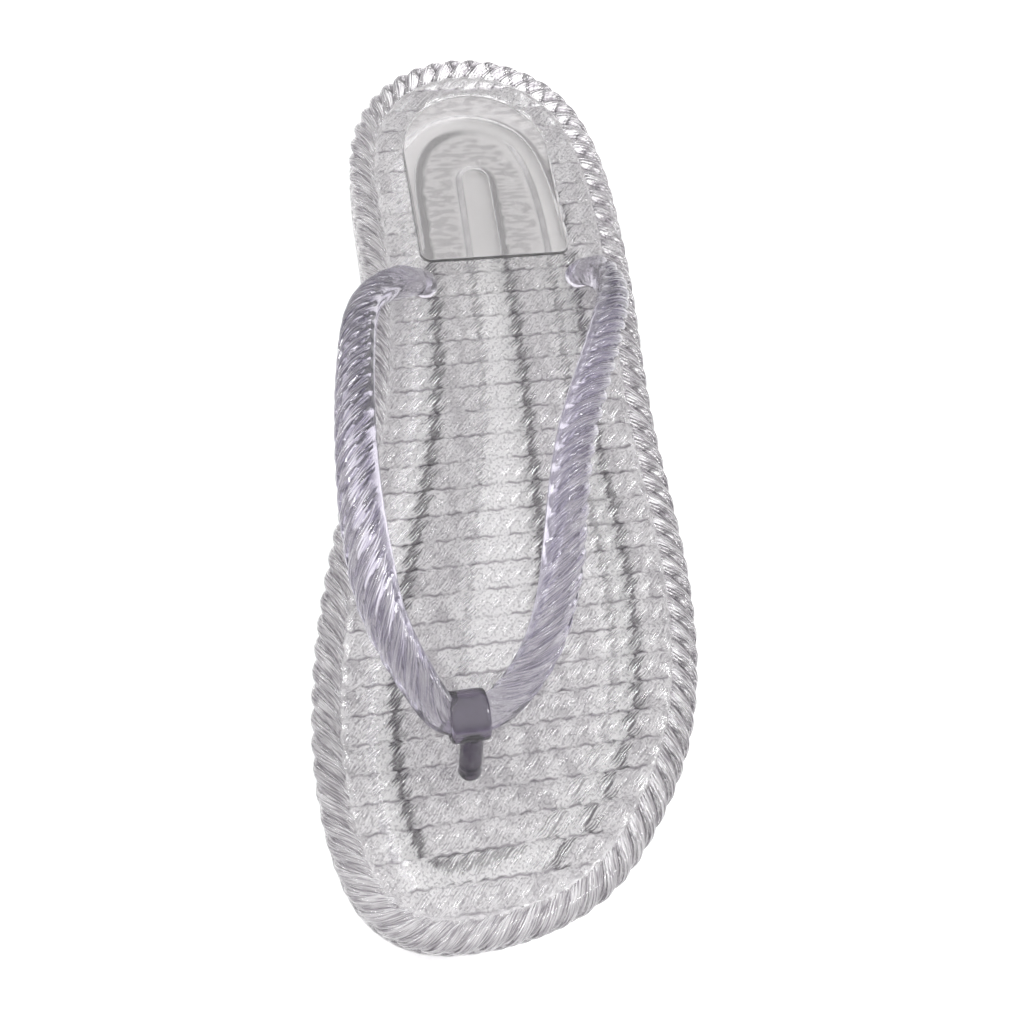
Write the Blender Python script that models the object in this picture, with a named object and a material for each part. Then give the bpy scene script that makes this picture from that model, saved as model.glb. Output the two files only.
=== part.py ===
"""Left thong sandal, moulded in clear soft plastic with a rope-like surface.

Four pieces: the sole, the window plate inlaid at the heel, the V-shaped strap with its two plugs, and the
toe post with the ring that holds the strap. All sizes are in metres. The origin is on the floor under the
middle of the sole, the toe points to -Y, the heel to +Y, the outer side to +X and +Z is up.
"""
import math

import bpy
import numpy as np
from mathutils import Vector
from mathutils.geometry import delaunay_2d_cdt

# Gap left between pieces that touch on the real sandal
CLEARANCE = 0.0003

# Sole: overall sizes
SOLE_LENGTH = 0.2582
SOLE_WIDTH = 0.1063
SOLE_THICKNESS = 0.0170
TOE_SPRING = 0.0050
ARCH_LIFT = 0.0015

# Sole: heel arc, as shares of the sole's width, and the angles that it covers
HEEL_ROUND = 0.348
HEEL_SIDE = 0.135
HEEL_ARC = (5, 165)
HEEL_ARC_STEPS = 5

# Sole: its sides between the two ends of the heel arc, round by the toe, as shares of half the sizes
OUTLINE = (
    # across, along
    (-0.447, 0.604),
    (-0.458, 0.418),
    (-0.515, 0.217),
    (-0.627, 0.023),
    (-0.769, -0.155),
    (-0.891, -0.325),
    (-0.972, -0.492),
    (-1.000, -0.655),
    (-0.966, -0.794),
    (-0.859, -0.912),
    (-0.665, -0.979),
    (-0.383, -1.000),
    (-0.044, -0.984),
    (0.247, -0.932),
    (0.507, -0.831),
    (0.710, -0.713),
    (0.848, -0.577),
    (0.927, -0.403),
    (0.947, -0.225),
    (0.936, -0.031),
    (0.953, 0.170),
    (0.983, 0.325),
    (1.000, 0.511),
)

# Sole: side view. The lifts are shares of TOE_SPRING and ARCH_LIFT, the thickness of SOLE_THICKNESS
PROFILE = (
    # along, toe lift, arch lift, thickness
    (-1.00, 1.00, 0.0, 0.84),
    (-0.85, 0.42, 0.0, 0.84),
    (-0.70, 0.10, 0.0, 0.85),
    (-0.58, 0.00, 0.0, 0.86),
    (-0.25, 0.00, 0.0, 0.87),
    (0.00, 0.00, 0.6, 0.89),
    (0.15, 0.00, 1.0, 0.92),
    (0.32, 0.00, 0.6, 0.96),
    (0.50, 0.00, 0.0, 1.00),
    (1.00, 0.00, 0.0, 1.00),
)

# Rope courses round the sole's side: the upper one is the rim
ROPE_RADIUS = 0.0040
ROPE_PITCH = 0.0062
RIM_RISE = 0.0020
STRAND_DEPTH = 0.16
LOWER_SETBACK = 0.0004
COURSE_GROOVE = 0.0016
BASE_BAND = 0.0030
BASE_SETBACK = 0.0010
BASE_CHAMFER = 0.0008
UPPER_TURNS = (-35, 25, 80, 130)
LOWER_TURNS = (-50, 0, 50)
FOOTBED_EDGE = 0.0074

# Rope rows across the footbed: the profile is read over one pitch, from groove to groove
ROW_PITCH = 0.0072
ROW_HEIGHT = 0.0009
ROW_GROOVE_TO_PLATE = 0.0047
ROW_MARGIN = 0.0009
ROW_SHORTEST = 0.0050
ROW_PROFILE = (
    # along the pitch, height
    (0.00, 0.0),
    (0.20, 0.8),
    (0.50, 1.0),
    (0.80, 0.8),
)

# Underside: a smooth channel that runs round inside the edge, and a central one
CHANNEL_DEPTH = 0.0030
CHANNEL_DRAFT = 0.0007
RING_CHANNEL_INSET = 0.0145
RING_CHANNEL_WIDTH = 0.0065
RING_CHANNEL_EVERY = 3
MID_CHANNEL_END_STEPS = 6
MID_CHANNEL_TOE_ROUND = 0.45
MID_CHANNEL = (
    # across and along as shares of half the sole, half width as a share of the sole's width
    (0.276, 0.700, 0.049),
    (0.254, 0.400, 0.052),
    (0.200, 0.120, 0.061),
    (0.123, -0.100, 0.080),
    (0.038, -0.300, 0.095),
    (-0.061, -0.460, 0.093),
)

# Window plate inlaid at the heel
PLATE_WIDTH = 0.0428
PLATE_LENGTH = 0.0575
PLATE_TO_HEEL = 0.0146
PLATE_CORNER = 0.0030
PLATE_THICKNESS = 0.0020
PLATE_CHAMFER = 0.0004
POCKET_DEPTH = 0.0015
PLATE_ARC_STEPS = 18
PLATE_CORNER_STEPS = 3

# Plugs: the stems of strap and post, which are bonded in blind sockets in the footbed
STEM_RADIUS = 0.0034
STEM_DEPTH = 0.0070
STEM_CHAMFER = 0.0006
SOCKET_SIDES = 24

# Strap: where it is fixed, its form and its D-shaped section
ANCHOR_SPREAD = 0.0438
ANCHOR_TO_PLATE = 0.0084
STRAP_RISE = 0.0390
STRAP_BULGE = 0.0234
STRAP_WIDTH = 0.0112
STRAP_THICKNESS = 0.0082
STRAP_FACE = 0.36
STRAP_STRAND_PITCH = 0.0057
STRAP_STRAND_DEPTH = 0.12
STRAP_STRAND_TURNS = 3
STRAP_SIDES = 10
STRAP_RINGS_PER_STRAND = 3
NECK_RISE = 0.0015
INNER_ARM = (
    # along and out are shares of the way from anchor to ring and of STRAP_BULGE, rise is a share of
    # STRAP_RISE, tilt turns the strap's back from outward (0) to upward (90), rope is the strands' depth
    # along, out, rise, tilt, rope
    (0.012, 0.12, 0.13, 20, 0.0),
    (0.034, 0.33, 0.22, 20, 0.4),
    (0.089, 0.63, 0.37, 22, 1.0),
    (0.185, 0.83, 0.56, 25, 1.0),
    (0.300, 0.92, 0.74, 28, 1.0),
    (0.423, 0.98, 0.90, 32, 1.0),
    (0.539, 1.00, 0.97, 38, 1.0),
    (0.643, 0.99, 1.00, 45, 1.0),
    (0.737, 0.94, 0.97, 52, 1.0),
    (0.812, 0.86, 0.90, 60, 1.0),
    (0.884, 0.69, 0.77, 68, 1.0),
)
OUTER_ARM = (
    # along, out, rise, tilt, rope
    (0.014, 0.10, 0.13, 20, 0.0),
    (0.041, 0.24, 0.22, 20, 0.4),
    (0.098, 0.37, 0.37, 22, 1.0),
    (0.160, 0.42, 0.52, 24, 1.0),
    (0.242, 0.42, 0.68, 27, 1.0),
    (0.341, 0.40, 0.82, 30, 1.0),
    (0.434, 0.37, 0.92, 34, 1.0),
    (0.547, 0.36, 0.98, 40, 1.0),
    (0.650, 0.42, 1.00, 46, 1.0),
    (0.745, 0.51, 0.97, 52, 1.0),
    (0.831, 0.58, 0.90, 60, 1.0),
    (0.901, 0.58, 0.79, 68, 1.0),
)

# Toe post and the ring on it
POST_TO_TOE = 0.0424
POST_ACROSS = -0.0161
POST_RADIUS = 0.0028
RING_BACK = 0.0086
RING_ASIDE = -0.0012
RING_HEIGHT = 0.0180
RING_LENGTH = 0.0094
RING_WALL = 0.0016
RING_ROUNDING = 0.0006
RING_SHOULDER = 0.0030
RING_STRAP_WIDTH = 0.0086
RING_STRAP_THICKNESS = 0.0080
INNER_FLARE_ASIDE = 0.0096
INNER_FLARE_BACK = 0.0057
INNER_FLARE_UP = 0.0048
OUTER_FLARE_ASIDE = 0.0128
OUTER_FLARE_BACK = 0.0048
OUTER_FLARE_UP = 0.0056
FLARE_TILT = 80
FLARE_ROPE = 0.8
POST_LEAN = 0.55
POST_SIDES = 16

# Colour, roughness and metallic value of each piece
FINISHES = {
    "sole": ((0.80, 0.79, 0.80, 1.0), 0.18, 0.0),
    "heel_window": ((0.84, 0.83, 0.84, 1.0), 0.06, 0.0),
    "strap": ((0.60, 0.57, 0.65, 1.0), 0.20, 0.0),
    "toe_post": ((0.40, 0.37, 0.47, 1.0), 0.10, 0.0),
}

HALF_LENGTH = SOLE_LENGTH / 2
HALF_WIDTH = SOLE_WIDTH / 2
HEEL_RADIUS = HEEL_ROUND * SOLE_WIDTH
HEEL_AXIS = HEEL_SIDE * SOLE_WIDTH
PLATE_BACK = HALF_LENGTH - PLATE_TO_HEEL
PLATE_FRONT = PLATE_BACK - PLATE_LENGTH
STRAP_STEP = STRAP_STRAND_PITCH / STRAP_RINGS_PER_STRAND


def spline(points, closed=False):
    """Return the knots and a reader of the cubic curve through the points, by distance along their chords."""
    points = np.asarray(points, float)
    if closed:
        points = np.vstack([points, points[:1]])
    steps = np.linalg.norm(np.diff(points, axis=0), axis=1)
    knots = np.concatenate([[0.0], np.cumsum(steps)])
    slopes = np.diff(points, axis=0) / steps[:, None]
    count = len(points)
    system = np.eye(count)
    target = np.zeros_like(points)
    for i in range(1, count - 1):
        system[i, i - 1:i + 2] = steps[i - 1], 2 * (steps[i - 1] + steps[i]), steps[i]
        target[i] = 6 * (slopes[i] - slopes[i - 1])
    if closed:
        system[0, 0] = 2 * (steps[-1] + steps[0])
        system[0, 1] = steps[0]
        system[0, -2] = steps[-1]
        target[0] = 6 * (slopes[0] - slopes[-1])
        system[-1, 0] = -1
    bends = np.linalg.solve(system, target)

    def read(where):
        i = np.clip(np.searchsorted(knots, where, side="right") - 1, 0, count - 2)
        step = steps[i][:, None]
        a = (knots[i + 1] - where)[:, None] / step
        b = 1 - a
        curve = (a**3 - a) * bends[i] + (b**3 - b) * bends[i + 1]
        return a * points[i] + b * points[i + 1] + curve * step**2 / 6

    return knots, read


def ease(knots, values, where):
    """Read a column smoothly between its rows without passing their highest or lowest value."""
    knots = np.asarray(knots, float)
    values = np.asarray(values, float)
    slopes = np.diff(values) / np.diff(knots)
    tangents = np.zeros(len(values))
    for i in range(1, len(values) - 1):
        if slopes[i - 1] * slopes[i] > 0:
            tangents[i] = 2 / (1 / slopes[i - 1] + 1 / slopes[i])
    where = np.clip(where, knots[0], knots[-1])
    i = np.clip(np.searchsorted(knots, where, side="right") - 1, 0, len(knots) - 2)
    step = knots[i + 1] - knots[i]
    t = (where - knots[i]) / step
    start = values[i] * (1 + 2 * t) * (1 - t) ** 2 + tangents[i] * step * t * (1 - t) ** 2
    end = values[i + 1] * t**2 * (3 - 2 * t) - tangents[i + 1] * step * t**2 * (1 - t)
    return start + end


def profile(column, y):
    """Read one column of the side view at the place y."""
    rows = np.array(PROFILE)
    return ease(rows[:, 0], rows[:, column], np.asarray(y) / HALF_LENGTH)


def underside(y):
    """Height of the tread above the floor."""
    return profile(1, y) * TOE_SPRING + profile(2, y) * ARCH_LIFT


def footbed(y):
    """Height of the footbed between its rope rows."""
    return underside(y) + profile(3, y) * SOLE_THICKNESS


def even_loop(points, pitch, multiple):
    """Space points evenly along the closed curve through the given points, a multiple for each pitch."""
    knots, read = spline(points, closed=True)
    dense = read(np.linspace(0, knots[-1], 4000))
    travelled = np.concatenate([[0], np.cumsum(np.linalg.norm(np.diff(dense, axis=0), axis=1))])
    count = multiple * round(travelled[-1] / pitch)
    places = np.arange(count) * travelled[-1] / count
    return np.column_stack([np.interp(places, travelled, dense[:, i]) for i in range(2)])


def outline():
    """The sole's outer edge seen from above, counter-clockwise, with two points for each rope strand."""
    turns = np.radians(np.linspace(*HEEL_ARC, HEEL_ARC_STEPS + 1))
    arc = np.column_stack([HEEL_AXIS + HEEL_RADIUS * np.cos(turns),
                           HALF_LENGTH - HEEL_RADIUS + HEEL_RADIUS * np.sin(turns)])
    sides = np.array(OUTLINE) * (HALF_WIDTH, HALF_LENGTH)
    loop = even_loop(np.vstack([arc, sides]), ROPE_PITCH, 2)
    low, high = loop.min(axis=0), loop.max(axis=0)
    return (loop - (low + high) / 2) * (SOLE_WIDTH, SOLE_LENGTH) / (high - low)


def inset(loop, distance):
    """Move a counter-clockwise loop inwards."""
    along = np.roll(loop, -1, axis=0) - np.roll(loop, 1, axis=0)
    along /= np.linalg.norm(along, axis=1)[:, None]
    inward = np.column_stack([-along[:, 1], along[:, 0]])
    return loop + inward * np.reshape(distance, (-1, 1))


def inside(loop, spots):
    """Tell which spots lie inside a closed loop."""
    x, y = spots[:, 0][:, None], spots[:, 1][:, None]
    ax, ay = loop[:, 0], loop[:, 1]
    bx, by = np.roll(ax, -1), np.roll(ay, -1)
    crosses = (ay > y) != (by > y)
    rise = np.where(by == ay, 1.0, by - ay)
    return (crosses & (x < ax + (y - ay) * (bx - ax) / rise)).sum(axis=1) % 2 == 1


def crossings(loop, y):
    """Where a closed loop crosses the line at height y, from -X to +X."""
    ax, ay = loop[:, 0], loop[:, 1]
    bx, by = np.roll(ax, -1), np.roll(ay, -1)
    hit = (ay > y) != (by > y)
    return sorted(ax[hit] + (y - ay[hit]) * (bx[hit] - ax[hit]) / (by[hit] - ay[hit]))


class Shell:
    """A closed surface gathered from loops of points, strips between them and filled regions."""

    def __init__(self):
        self.points = []
        self.faces = []

    def loop(self, flat, height):
        """Add a loop of points from its plan and its heights, and return their numbers."""
        start = len(self.points)
        heights = np.broadcast_to(height, len(flat))
        self.points += [(x, y, z) for (x, y), z in zip(flat, heights)]
        return list(range(start, len(self.points)))

    def ring(self, spots):
        """Add a loop of points in space, and return their numbers."""
        start = len(self.points)
        self.points += [tuple(spot) for spot in spots]
        return list(range(start, len(self.points)))

    def bridge(self, first, second):
        """Join two loops of equal count. Each square is cut along the way that the rope's strands run."""
        for i, a in enumerate(first):
            b = first[(i + 1) % len(first)]
            c = second[(i + 1) % len(second)]
            self.faces += [(a, b, c), (a, c, second[i])]

    def cap(self, loop, reverse):
        """Close a small round loop with a fan."""
        middle = len(self.points)
        self.points.append(tuple(np.mean([self.points[i] for i in loop], axis=0)))
        for i, a in enumerate(loop):
            b = loop[(i + 1) % len(loop)]
            self.faces.append((b, a, middle) if reverse else (a, b, middle))

    def fill(self, outer, holes, lines, height, facing_up):
        """Fill the region between an outer loop and its holes, along lines that the surface follows."""
        numbers = list(outer)
        for hole in holes:
            numbers += hole
        edges = []
        start = 0
        for loop in (outer, *holes):
            edges += [(start + i, start + (i + 1) % len(loop)) for i in range(len(loop))]
            start += len(loop)
        for line in lines:
            first = len(numbers)
            for x, y in line:
                self.points.append((x, y, float(height(y))))
                numbers.append(len(self.points) - 1)
            edges += [(i, i + 1) for i in range(first, len(numbers) - 1)]
        flat = [Vector((self.points[i][0] * 1000, self.points[i][1] * 1000)) for i in numbers]
        spots, _, triangles, origins, _, _ = delaunay_2d_cdt(flat, edges, [], 0, 1e-5)
        spots = np.array(spots)
        middles = spots[np.array(triangles)].mean(axis=1)
        rims = [np.array([flat[numbers.index(i)] for i in loop]) for loop in (outer, *holes)]
        keep = inside(rims[0], middles)
        for rim in rims[1:]:
            keep &= ~inside(rim, middles)
        for triangle, kept in zip(triangles, keep):
            if not kept:
                continue
            a, b, c = (numbers[origins[i][0]] for i in triangle)
            (ax, ay), (bx, by), (cx, cy) = (self.points[i][:2] for i in (a, b, c))
            turns_left = (bx - ax) * (cy - ay) - (by - ay) * (cx - ax) > 0
            self.faces.append((a, b, c) if turns_left == facing_up else (a, c, b))

    def mesh(self, name):
        """Make the Blender mesh."""
        mesh = bpy.data.meshes.new(name)
        mesh.from_pydata(self.points, [], self.faces)
        mesh.validate()
        mesh.update()
        return mesh


def add_object(name, shell, cutter=False):
    """Put a shell in the scene with the piece's own finish, or as a cutter."""
    piece = bpy.data.objects.new(name, shell.mesh(name))
    bpy.context.scene.collection.objects.link(piece)
    if cutter:
        piece.hide_render = True
        piece.display_type = "WIRE"
        return piece
    colour, roughness, metallic = FINISHES[name]
    material = bpy.data.materials.new(name)
    material.use_nodes = True
    shader = material.node_tree.nodes["Principled BSDF"]
    shader.inputs["Base Color"].default_value = colour
    shader.inputs["Roughness"].default_value = roughness
    shader.inputs["Metallic"].default_value = metallic
    piece.data.materials.append(material)
    return piece


def combine(piece, other, operation):
    """Join another closed shape to a piece, or cut it away, with a Boolean."""
    modifier = piece.modifiers.new(other.name, "BOOLEAN")
    modifier.operation = operation
    modifier.object = other
    modifier.solver = "EXACT"


# Window plate


def plate_loop(grow):
    """Plan of the heel window: a straight front with small corners and a round back."""
    half = PLATE_WIDTH / 2
    loop = []
    for side, start in ((-1, 180), (1, 270)):
        for turn in np.radians(np.linspace(start, start + 90, PLATE_CORNER_STEPS + 1)):
            loop.append((HEEL_AXIS + side * (half - PLATE_CORNER) + (PLATE_CORNER + grow) * math.cos(turn),
                         PLATE_FRONT + PLATE_CORNER + (PLATE_CORNER + grow) * math.sin(turn)))
    for turn in np.radians(np.linspace(0, 180, PLATE_ARC_STEPS + 1)):
        loop.append((HEEL_AXIS + (half + grow) * math.cos(turn),
                     PLATE_BACK - half + (half + grow) * math.sin(turn)))
    return np.array(loop)


def heel_window():
    """The clear plate that lies in its pocket in the footbed."""
    shell = Shell()
    wide, narrow = plate_loop(0), plate_loop(-PLATE_CHAMFER)
    seat = CLEARANCE - POCKET_DEPTH
    bottom = shell.loop(wide, footbed(wide[:, 1]) + seat)
    top = shell.loop(wide, footbed(wide[:, 1]) + seat + PLATE_THICKNESS - PLATE_CHAMFER)
    crown = shell.loop(narrow, footbed(narrow[:, 1]) + seat + PLATE_THICKNESS)
    shell.bridge(bottom, top)
    shell.bridge(top, crown)
    shell.fill(bottom, [], [], footbed, facing_up=False)
    shell.fill(crown, [], [], footbed, facing_up=True)
    return add_object("heel_window", shell)


# Sole


def rope_ring(shell, edge, step, turn, radius, middle, setback):
    """Add one line of points along a rope course. Every second point lies in the groove between strands."""
    groove = (np.arange(len(edge)) + step) % 2
    reach = radius * (1 - STRAND_DEPTH * groove)
    angle = math.radians(turn)
    depth = ROPE_RADIUS + setback - (ROPE_RADIUS - radius) - reach * math.cos(angle)
    return shell.loop(inset(edge, depth), middle + reach * math.sin(angle))


def sole_side(shell, edge):
    """Build the side from the tread up over the rim to the footbed, and return its two end loops."""
    y = edge[:, 1]
    floor = underside(y)
    rim_middle = footbed(y) + RIM_RISE - ROPE_RADIUS
    groove_height = rim_middle + ROPE_RADIUS * math.sin(math.radians(UPPER_TURNS[0])) - COURSE_GROOVE / 2
    lower_radius = (groove_height - floor - BASE_BAND) / 2
    lower_middle = floor + BASE_BAND + lower_radius
    rings = [
        shell.loop(inset(edge, BASE_SETBACK + BASE_CHAMFER), floor),
        shell.loop(inset(edge, BASE_SETBACK), floor + BASE_CHAMFER),
        shell.loop(inset(edge, BASE_SETBACK), floor + BASE_BAND - BASE_CHAMFER),
    ]
    step = 0
    for turn in LOWER_TURNS:
        rings.append(rope_ring(shell, edge, step, turn, lower_radius, lower_middle, LOWER_SETBACK))
        step += 1
    rings.append(shell.loop(inset(edge, COURSE_GROOVE), groove_height))
    for turn in UPPER_TURNS:
        rings.append(rope_ring(shell, edge, step, turn, ROPE_RADIUS, rim_middle, 0))
        step += 1
    rings.append(shell.loop(inset(edge, FOOTBED_EDGE), footbed(y)))
    for lower, upper in zip(rings, rings[1:]):
        shell.bridge(lower, upper)
    return rings[0], rings[-1]


def row_lines(edge, hole):
    """Plan of the lines that shape the rope rows, clear of the footbed's edge and of the window's pocket."""
    bounds = inset(edge, FOOTBED_EDGE + ROW_MARGIN)
    first = PLATE_FRONT - ROW_GROOVE_TO_PLATE
    lines = []
    for row in range(-math.ceil(SOLE_LENGTH / ROW_PITCH), math.ceil(SOLE_LENGTH / ROW_PITCH)):
        for share, _ in ROW_PROFILE:
            y = first + (row + share) * ROW_PITCH
            ends = sorted(crossings(bounds, y) + crossings(hole, y))
            for left, right in zip(ends[::2], ends[1::2]):
                if right - left > ROW_SHORTEST:
                    lines.append(((left, y), (right, y)))
    return lines


def row_height(y):
    """Height of the footbed on its rope rows."""
    shares, heights = zip(*ROW_PROFILE, (1.0, ROW_PROFILE[0][1]))
    place = ((y - PLATE_FRONT + ROW_GROOVE_TO_PLATE) / ROW_PITCH) % 1.0
    return footbed(y) + ROW_HEIGHT * np.interp(place, shares, heights)


def channel_wall(shell, plan_loop, grow):
    """Add a channel's edge at the tread and at its roof, and return both loops."""
    edge = shell.loop(plan_loop, underside(plan_loop[:, 1]))
    drafted = inset(plan_loop, grow)
    roof = shell.loop(drafted, underside(drafted[:, 1]) + CHANNEL_DEPTH)
    return edge, roof


def mid_channel_plan():
    """Plan of the central channel: its two sides from the table, between round ends."""
    rows = np.array(MID_CHANNEL) * (HALF_WIDTH, HALF_LENGTH, SOLE_WIDTH)
    back = rows[0]
    front = rows[-1]
    turns = np.radians(np.linspace(0, 180, MID_CHANNEL_END_STEPS + 1))[1:-1]
    heel_end = back[:2] + back[2] * np.column_stack([np.cos(turns), np.sin(turns)])
    toe_end = front[:2] - front[2] * np.column_stack([np.cos(turns), np.sin(turns) * MID_CHANNEL_TOE_ROUND])
    inner_side = rows[:, :2] - rows[:, 2:] * (1, 0)
    outer_side = rows[::-1, :2] + rows[::-1, 2:] * (1, 0)
    return np.vstack([heel_end, inner_side, toe_end, outer_side])


def sole():
    """The moulded sole with its rope courses, footbed rows, window pocket and tread channels."""
    shell = Shell()
    edge = outline()
    tread_edge, footbed_edge = sole_side(shell, edge)

    pocket = plate_loop(CLEARANCE)
    pocket_edge = shell.loop(pocket, footbed(pocket[:, 1]))
    pocket_floor = shell.loop(pocket, footbed(pocket[:, 1]) - POCKET_DEPTH)
    rows = row_lines(edge, plate_loop(CLEARANCE + ROW_MARGIN))
    shell.fill(footbed_edge, [pocket_edge], rows, row_height, facing_up=True)
    shell.bridge(pocket_edge, pocket_floor)
    shell.fill(pocket_floor, [], [], footbed, facing_up=True)

    channel = edge[::RING_CHANNEL_EVERY]
    outer, outer_roof = channel_wall(shell, inset(channel, RING_CHANNEL_INSET), CHANNEL_DRAFT)
    inner_plan = inset(channel, RING_CHANNEL_INSET + RING_CHANNEL_WIDTH)
    inner, inner_roof = channel_wall(shell, inner_plan, -CHANNEL_DRAFT)
    middle, middle_roof = channel_wall(shell, mid_channel_plan(), CHANNEL_DRAFT)
    shell.fill(tread_edge, [outer], [], underside, facing_up=False)
    shell.bridge(outer_roof, outer)
    shell.bridge(inner_roof, outer_roof)
    shell.bridge(inner, inner_roof)
    shell.fill(inner, [middle], [], underside, facing_up=False)
    shell.bridge(middle_roof, middle)
    shell.fill(middle_roof, [], [], underside, facing_up=False)

    piece = add_object("sole", shell)
    for name, (x, y), radius in (("inner_socket", ANCHORS[0], STEM_RADIUS),
                                 ("outer_socket", ANCHORS[1], STEM_RADIUS),
                                 ("post_socket", POST_PLACE, POST_RADIUS)):
        combine(piece, socket(name, x, y, radius), "DIFFERENCE")
    return piece


# Plugs and their sockets

ANCHORS = [np.array([HEEL_AXIS + side * ANCHOR_SPREAD / 2, PLATE_FRONT - ANCHOR_TO_PLATE]) for side in (-1, 1)]
POST_PLACE = np.array([POST_ACROSS, POST_TO_TOE - HALF_LENGTH])


def circle(x, y, radius, sides):
    """Plan of a circle, counter-clockwise."""
    turns = np.arange(sides) * 2 * math.pi / sides
    return np.column_stack([x + radius * np.cos(turns), y + radius * np.sin(turns)])


def socket(name, x, y, stem):
    """Cutter for the blind hole in the footbed that a stem is bonded into."""
    plan = circle(x, y, stem + CLEARANCE, SOCKET_SIDES)
    shell = Shell()
    floor = shell.loop(plan, footbed(y) - STEM_DEPTH - CLEARANCE)
    mouth = shell.loop(plan, footbed(y) + SOLE_THICKNESS)
    shell.bridge(floor, mouth)
    shell.cap(floor, reverse=True)
    shell.cap(mouth, reverse=False)
    return add_object(name, shell, cutter=True)


def plug_levels(y, stem):
    """Radius and height of each ring of a plug, from its end in the socket up to the footbed."""
    high = float(footbed(y))
    low = high - STEM_DEPTH
    return (stem - STEM_CHAMFER, low), (stem, low + STEM_CHAMFER), (stem, high)


# Strap


def ring_centre():
    """Middle of the ring at the toe, where the strap's two arms meet."""
    x, y = POST_PLACE
    return np.array([x + RING_ASIDE, y + RING_BACK, float(footbed(y)) + RING_HEIGHT])


def arm_stations(anchor, table, flare, side):
    """Places along one arm from the neck to the ring: point, direction of the strap's back, width,
    thickness, roundness and depth of the strands. The flare is the arm's last turn before the ring."""
    centre = ring_centre()
    base = np.array([*anchor, float(footbed(anchor[1]))])
    stations = [(base + (0, 0, rise), 0.0, 2 * STEM_RADIUS, 2 * STEM_RADIUS, 1.0, 0.0)
                for rise in (0, NECK_RISE)]
    places = []
    for along, out, rise, tilt, rope in table:
        x, y = anchor + along * (centre[:2] - anchor)
        height = float(footbed(y)) + rise * STRAP_RISE
        places.append((along, np.array([x + side * out * STRAP_BULGE, y, height]), tilt, rope))
    aside, back, up = flare
    along = 1 - back / (anchor[1] - centre[1])
    places.append((along, centre + (side * aside, back, up), FLARE_TILT, FLARE_ROPE))
    for along, point, tilt, rope in places:
        full = np.interp(along, (0, places[1][0]), (0, 1))
        near_ring = np.interp(along, (places[-4][0], 1), (0, 1))
        width = 2 * STEM_RADIUS + full * (STRAP_WIDTH - 2 * STEM_RADIUS)
        thickness = 2 * STEM_RADIUS + full * (STRAP_THICKNESS - 2 * STEM_RADIUS)
        width += near_ring * (RING_STRAP_WIDTH - STRAP_WIDTH)
        thickness += near_ring * (RING_STRAP_THICKNESS - STRAP_THICKNESS)
        stations.append((point, tilt, width, thickness, max(1 - full, near_ring), rope))
    shoulder = centre + (side * RING_SHOULDER, 0, 0)
    stations.append((shoulder, 90.0, RING_STRAP_WIDTH, RING_STRAP_THICKNESS, 1.0, 0.0))
    return stations


def strap_line():
    """Read the strap's centre line from its inner neck by way of the ring to its outer neck.

    The reader gives, at distances from the ring, the points, the directions of the strap's back and of its
    width, and the columns width, thickness, roundness and strand depth. The second result is its two ends.
    """
    inner_flare = (INNER_FLARE_ASIDE, INNER_FLARE_BACK, INNER_FLARE_UP)
    outer_flare = (OUTER_FLARE_ASIDE, OUTER_FLARE_BACK, OUTER_FLARE_UP)
    inner = arm_stations(ANCHORS[0], INNER_ARM, inner_flare, -1)
    outer = arm_stations(ANCHORS[1], OUTER_ARM, outer_flare, 1)
    apex = (ring_centre(), 90.0, RING_STRAP_WIDTH, RING_STRAP_THICKNESS, 1.0, 0.0)
    stations = inner + [apex] + outer[::-1]
    knots, read = spline([station[0] for station in stations])
    columns = np.array([station[1:] for station in stations])
    origin = knots[len(inner)]
    step = CLEARANCE

    def at(distances):
        where = np.asarray(distances, float) + origin
        points = read(where)
        ahead = read(where + step) - read(where - step)
        ahead /= np.linalg.norm(ahead, axis=1)[:, None]
        tilt, width, thickness, roundness, rope = (ease(knots, columns[:, i], where) for i in range(5))
        side = np.where(where < origin, -1.0, 1.0)
        level = np.column_stack([-ahead[:, 1], ahead[:, 0]])
        level /= np.maximum(np.linalg.norm(level, axis=1), step)[:, None]
        outward = np.column_stack([side, np.zeros_like(side)])
        level = np.where((level * outward).sum(axis=1)[:, None] < 0, -level, level)
        steep = np.abs(ahead[:, 2])[:, None] ** 4
        level = level * (1 - steep) + outward * steep
        turn = np.radians(tilt)[:, None]
        back = np.column_stack([level * np.cos(turn), np.sin(turn[:, 0])])
        back -= (back * ahead).sum(axis=1)[:, None] * ahead
        back /= np.linalg.norm(back, axis=1)[:, None]
        return points, back, np.cross(ahead, back), width, thickness, roundness, rope

    return at, (-origin, knots[-1] - origin)


def strap_rings(shell, at, distances, grow=0.0, shift=(0, 0, 0)):
    """Add the strap's sections at the given distances from the ring, and return their loops."""
    points, backs, sides, widths, thicknesses, roundness, ropes = at(distances)
    turns = np.arange(STRAP_SIDES) * 2 * math.pi / STRAP_SIDES
    loops = []
    for i, distance in enumerate(distances):
        flat = 1 - roundness[i]
        across = np.cos(turns)
        out = np.sin(turns)
        face = out < 0
        half = widths[i] / 2
        deep = np.where(face, STRAP_FACE * flat + 0.5 * (1 - flat), (1 - STRAP_FACE) * flat + 0.5 * (1 - flat))
        bulge = np.where(face, -np.abs(out) ** (1 - 0.5 * flat), out)
        strand = STRAP_STRAND_TURNS * turns + 2 * math.pi * distance / STRAP_STRAND_PITCH
        groove = np.where(face, 0.0, (1 - np.cos(strand)) / 2) * STRAP_STRAND_DEPTH * ropes[i]
        u = (half * (1 - groove) + grow) * across
        v = (deep * thicknesses[i] * (1 - groove) + grow) * bulge
        ring = points[i] + shift + u[:, None] * sides[i] + v[:, None] * backs[i]
        loops.append(shell.ring(ring))
    return loops


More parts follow.
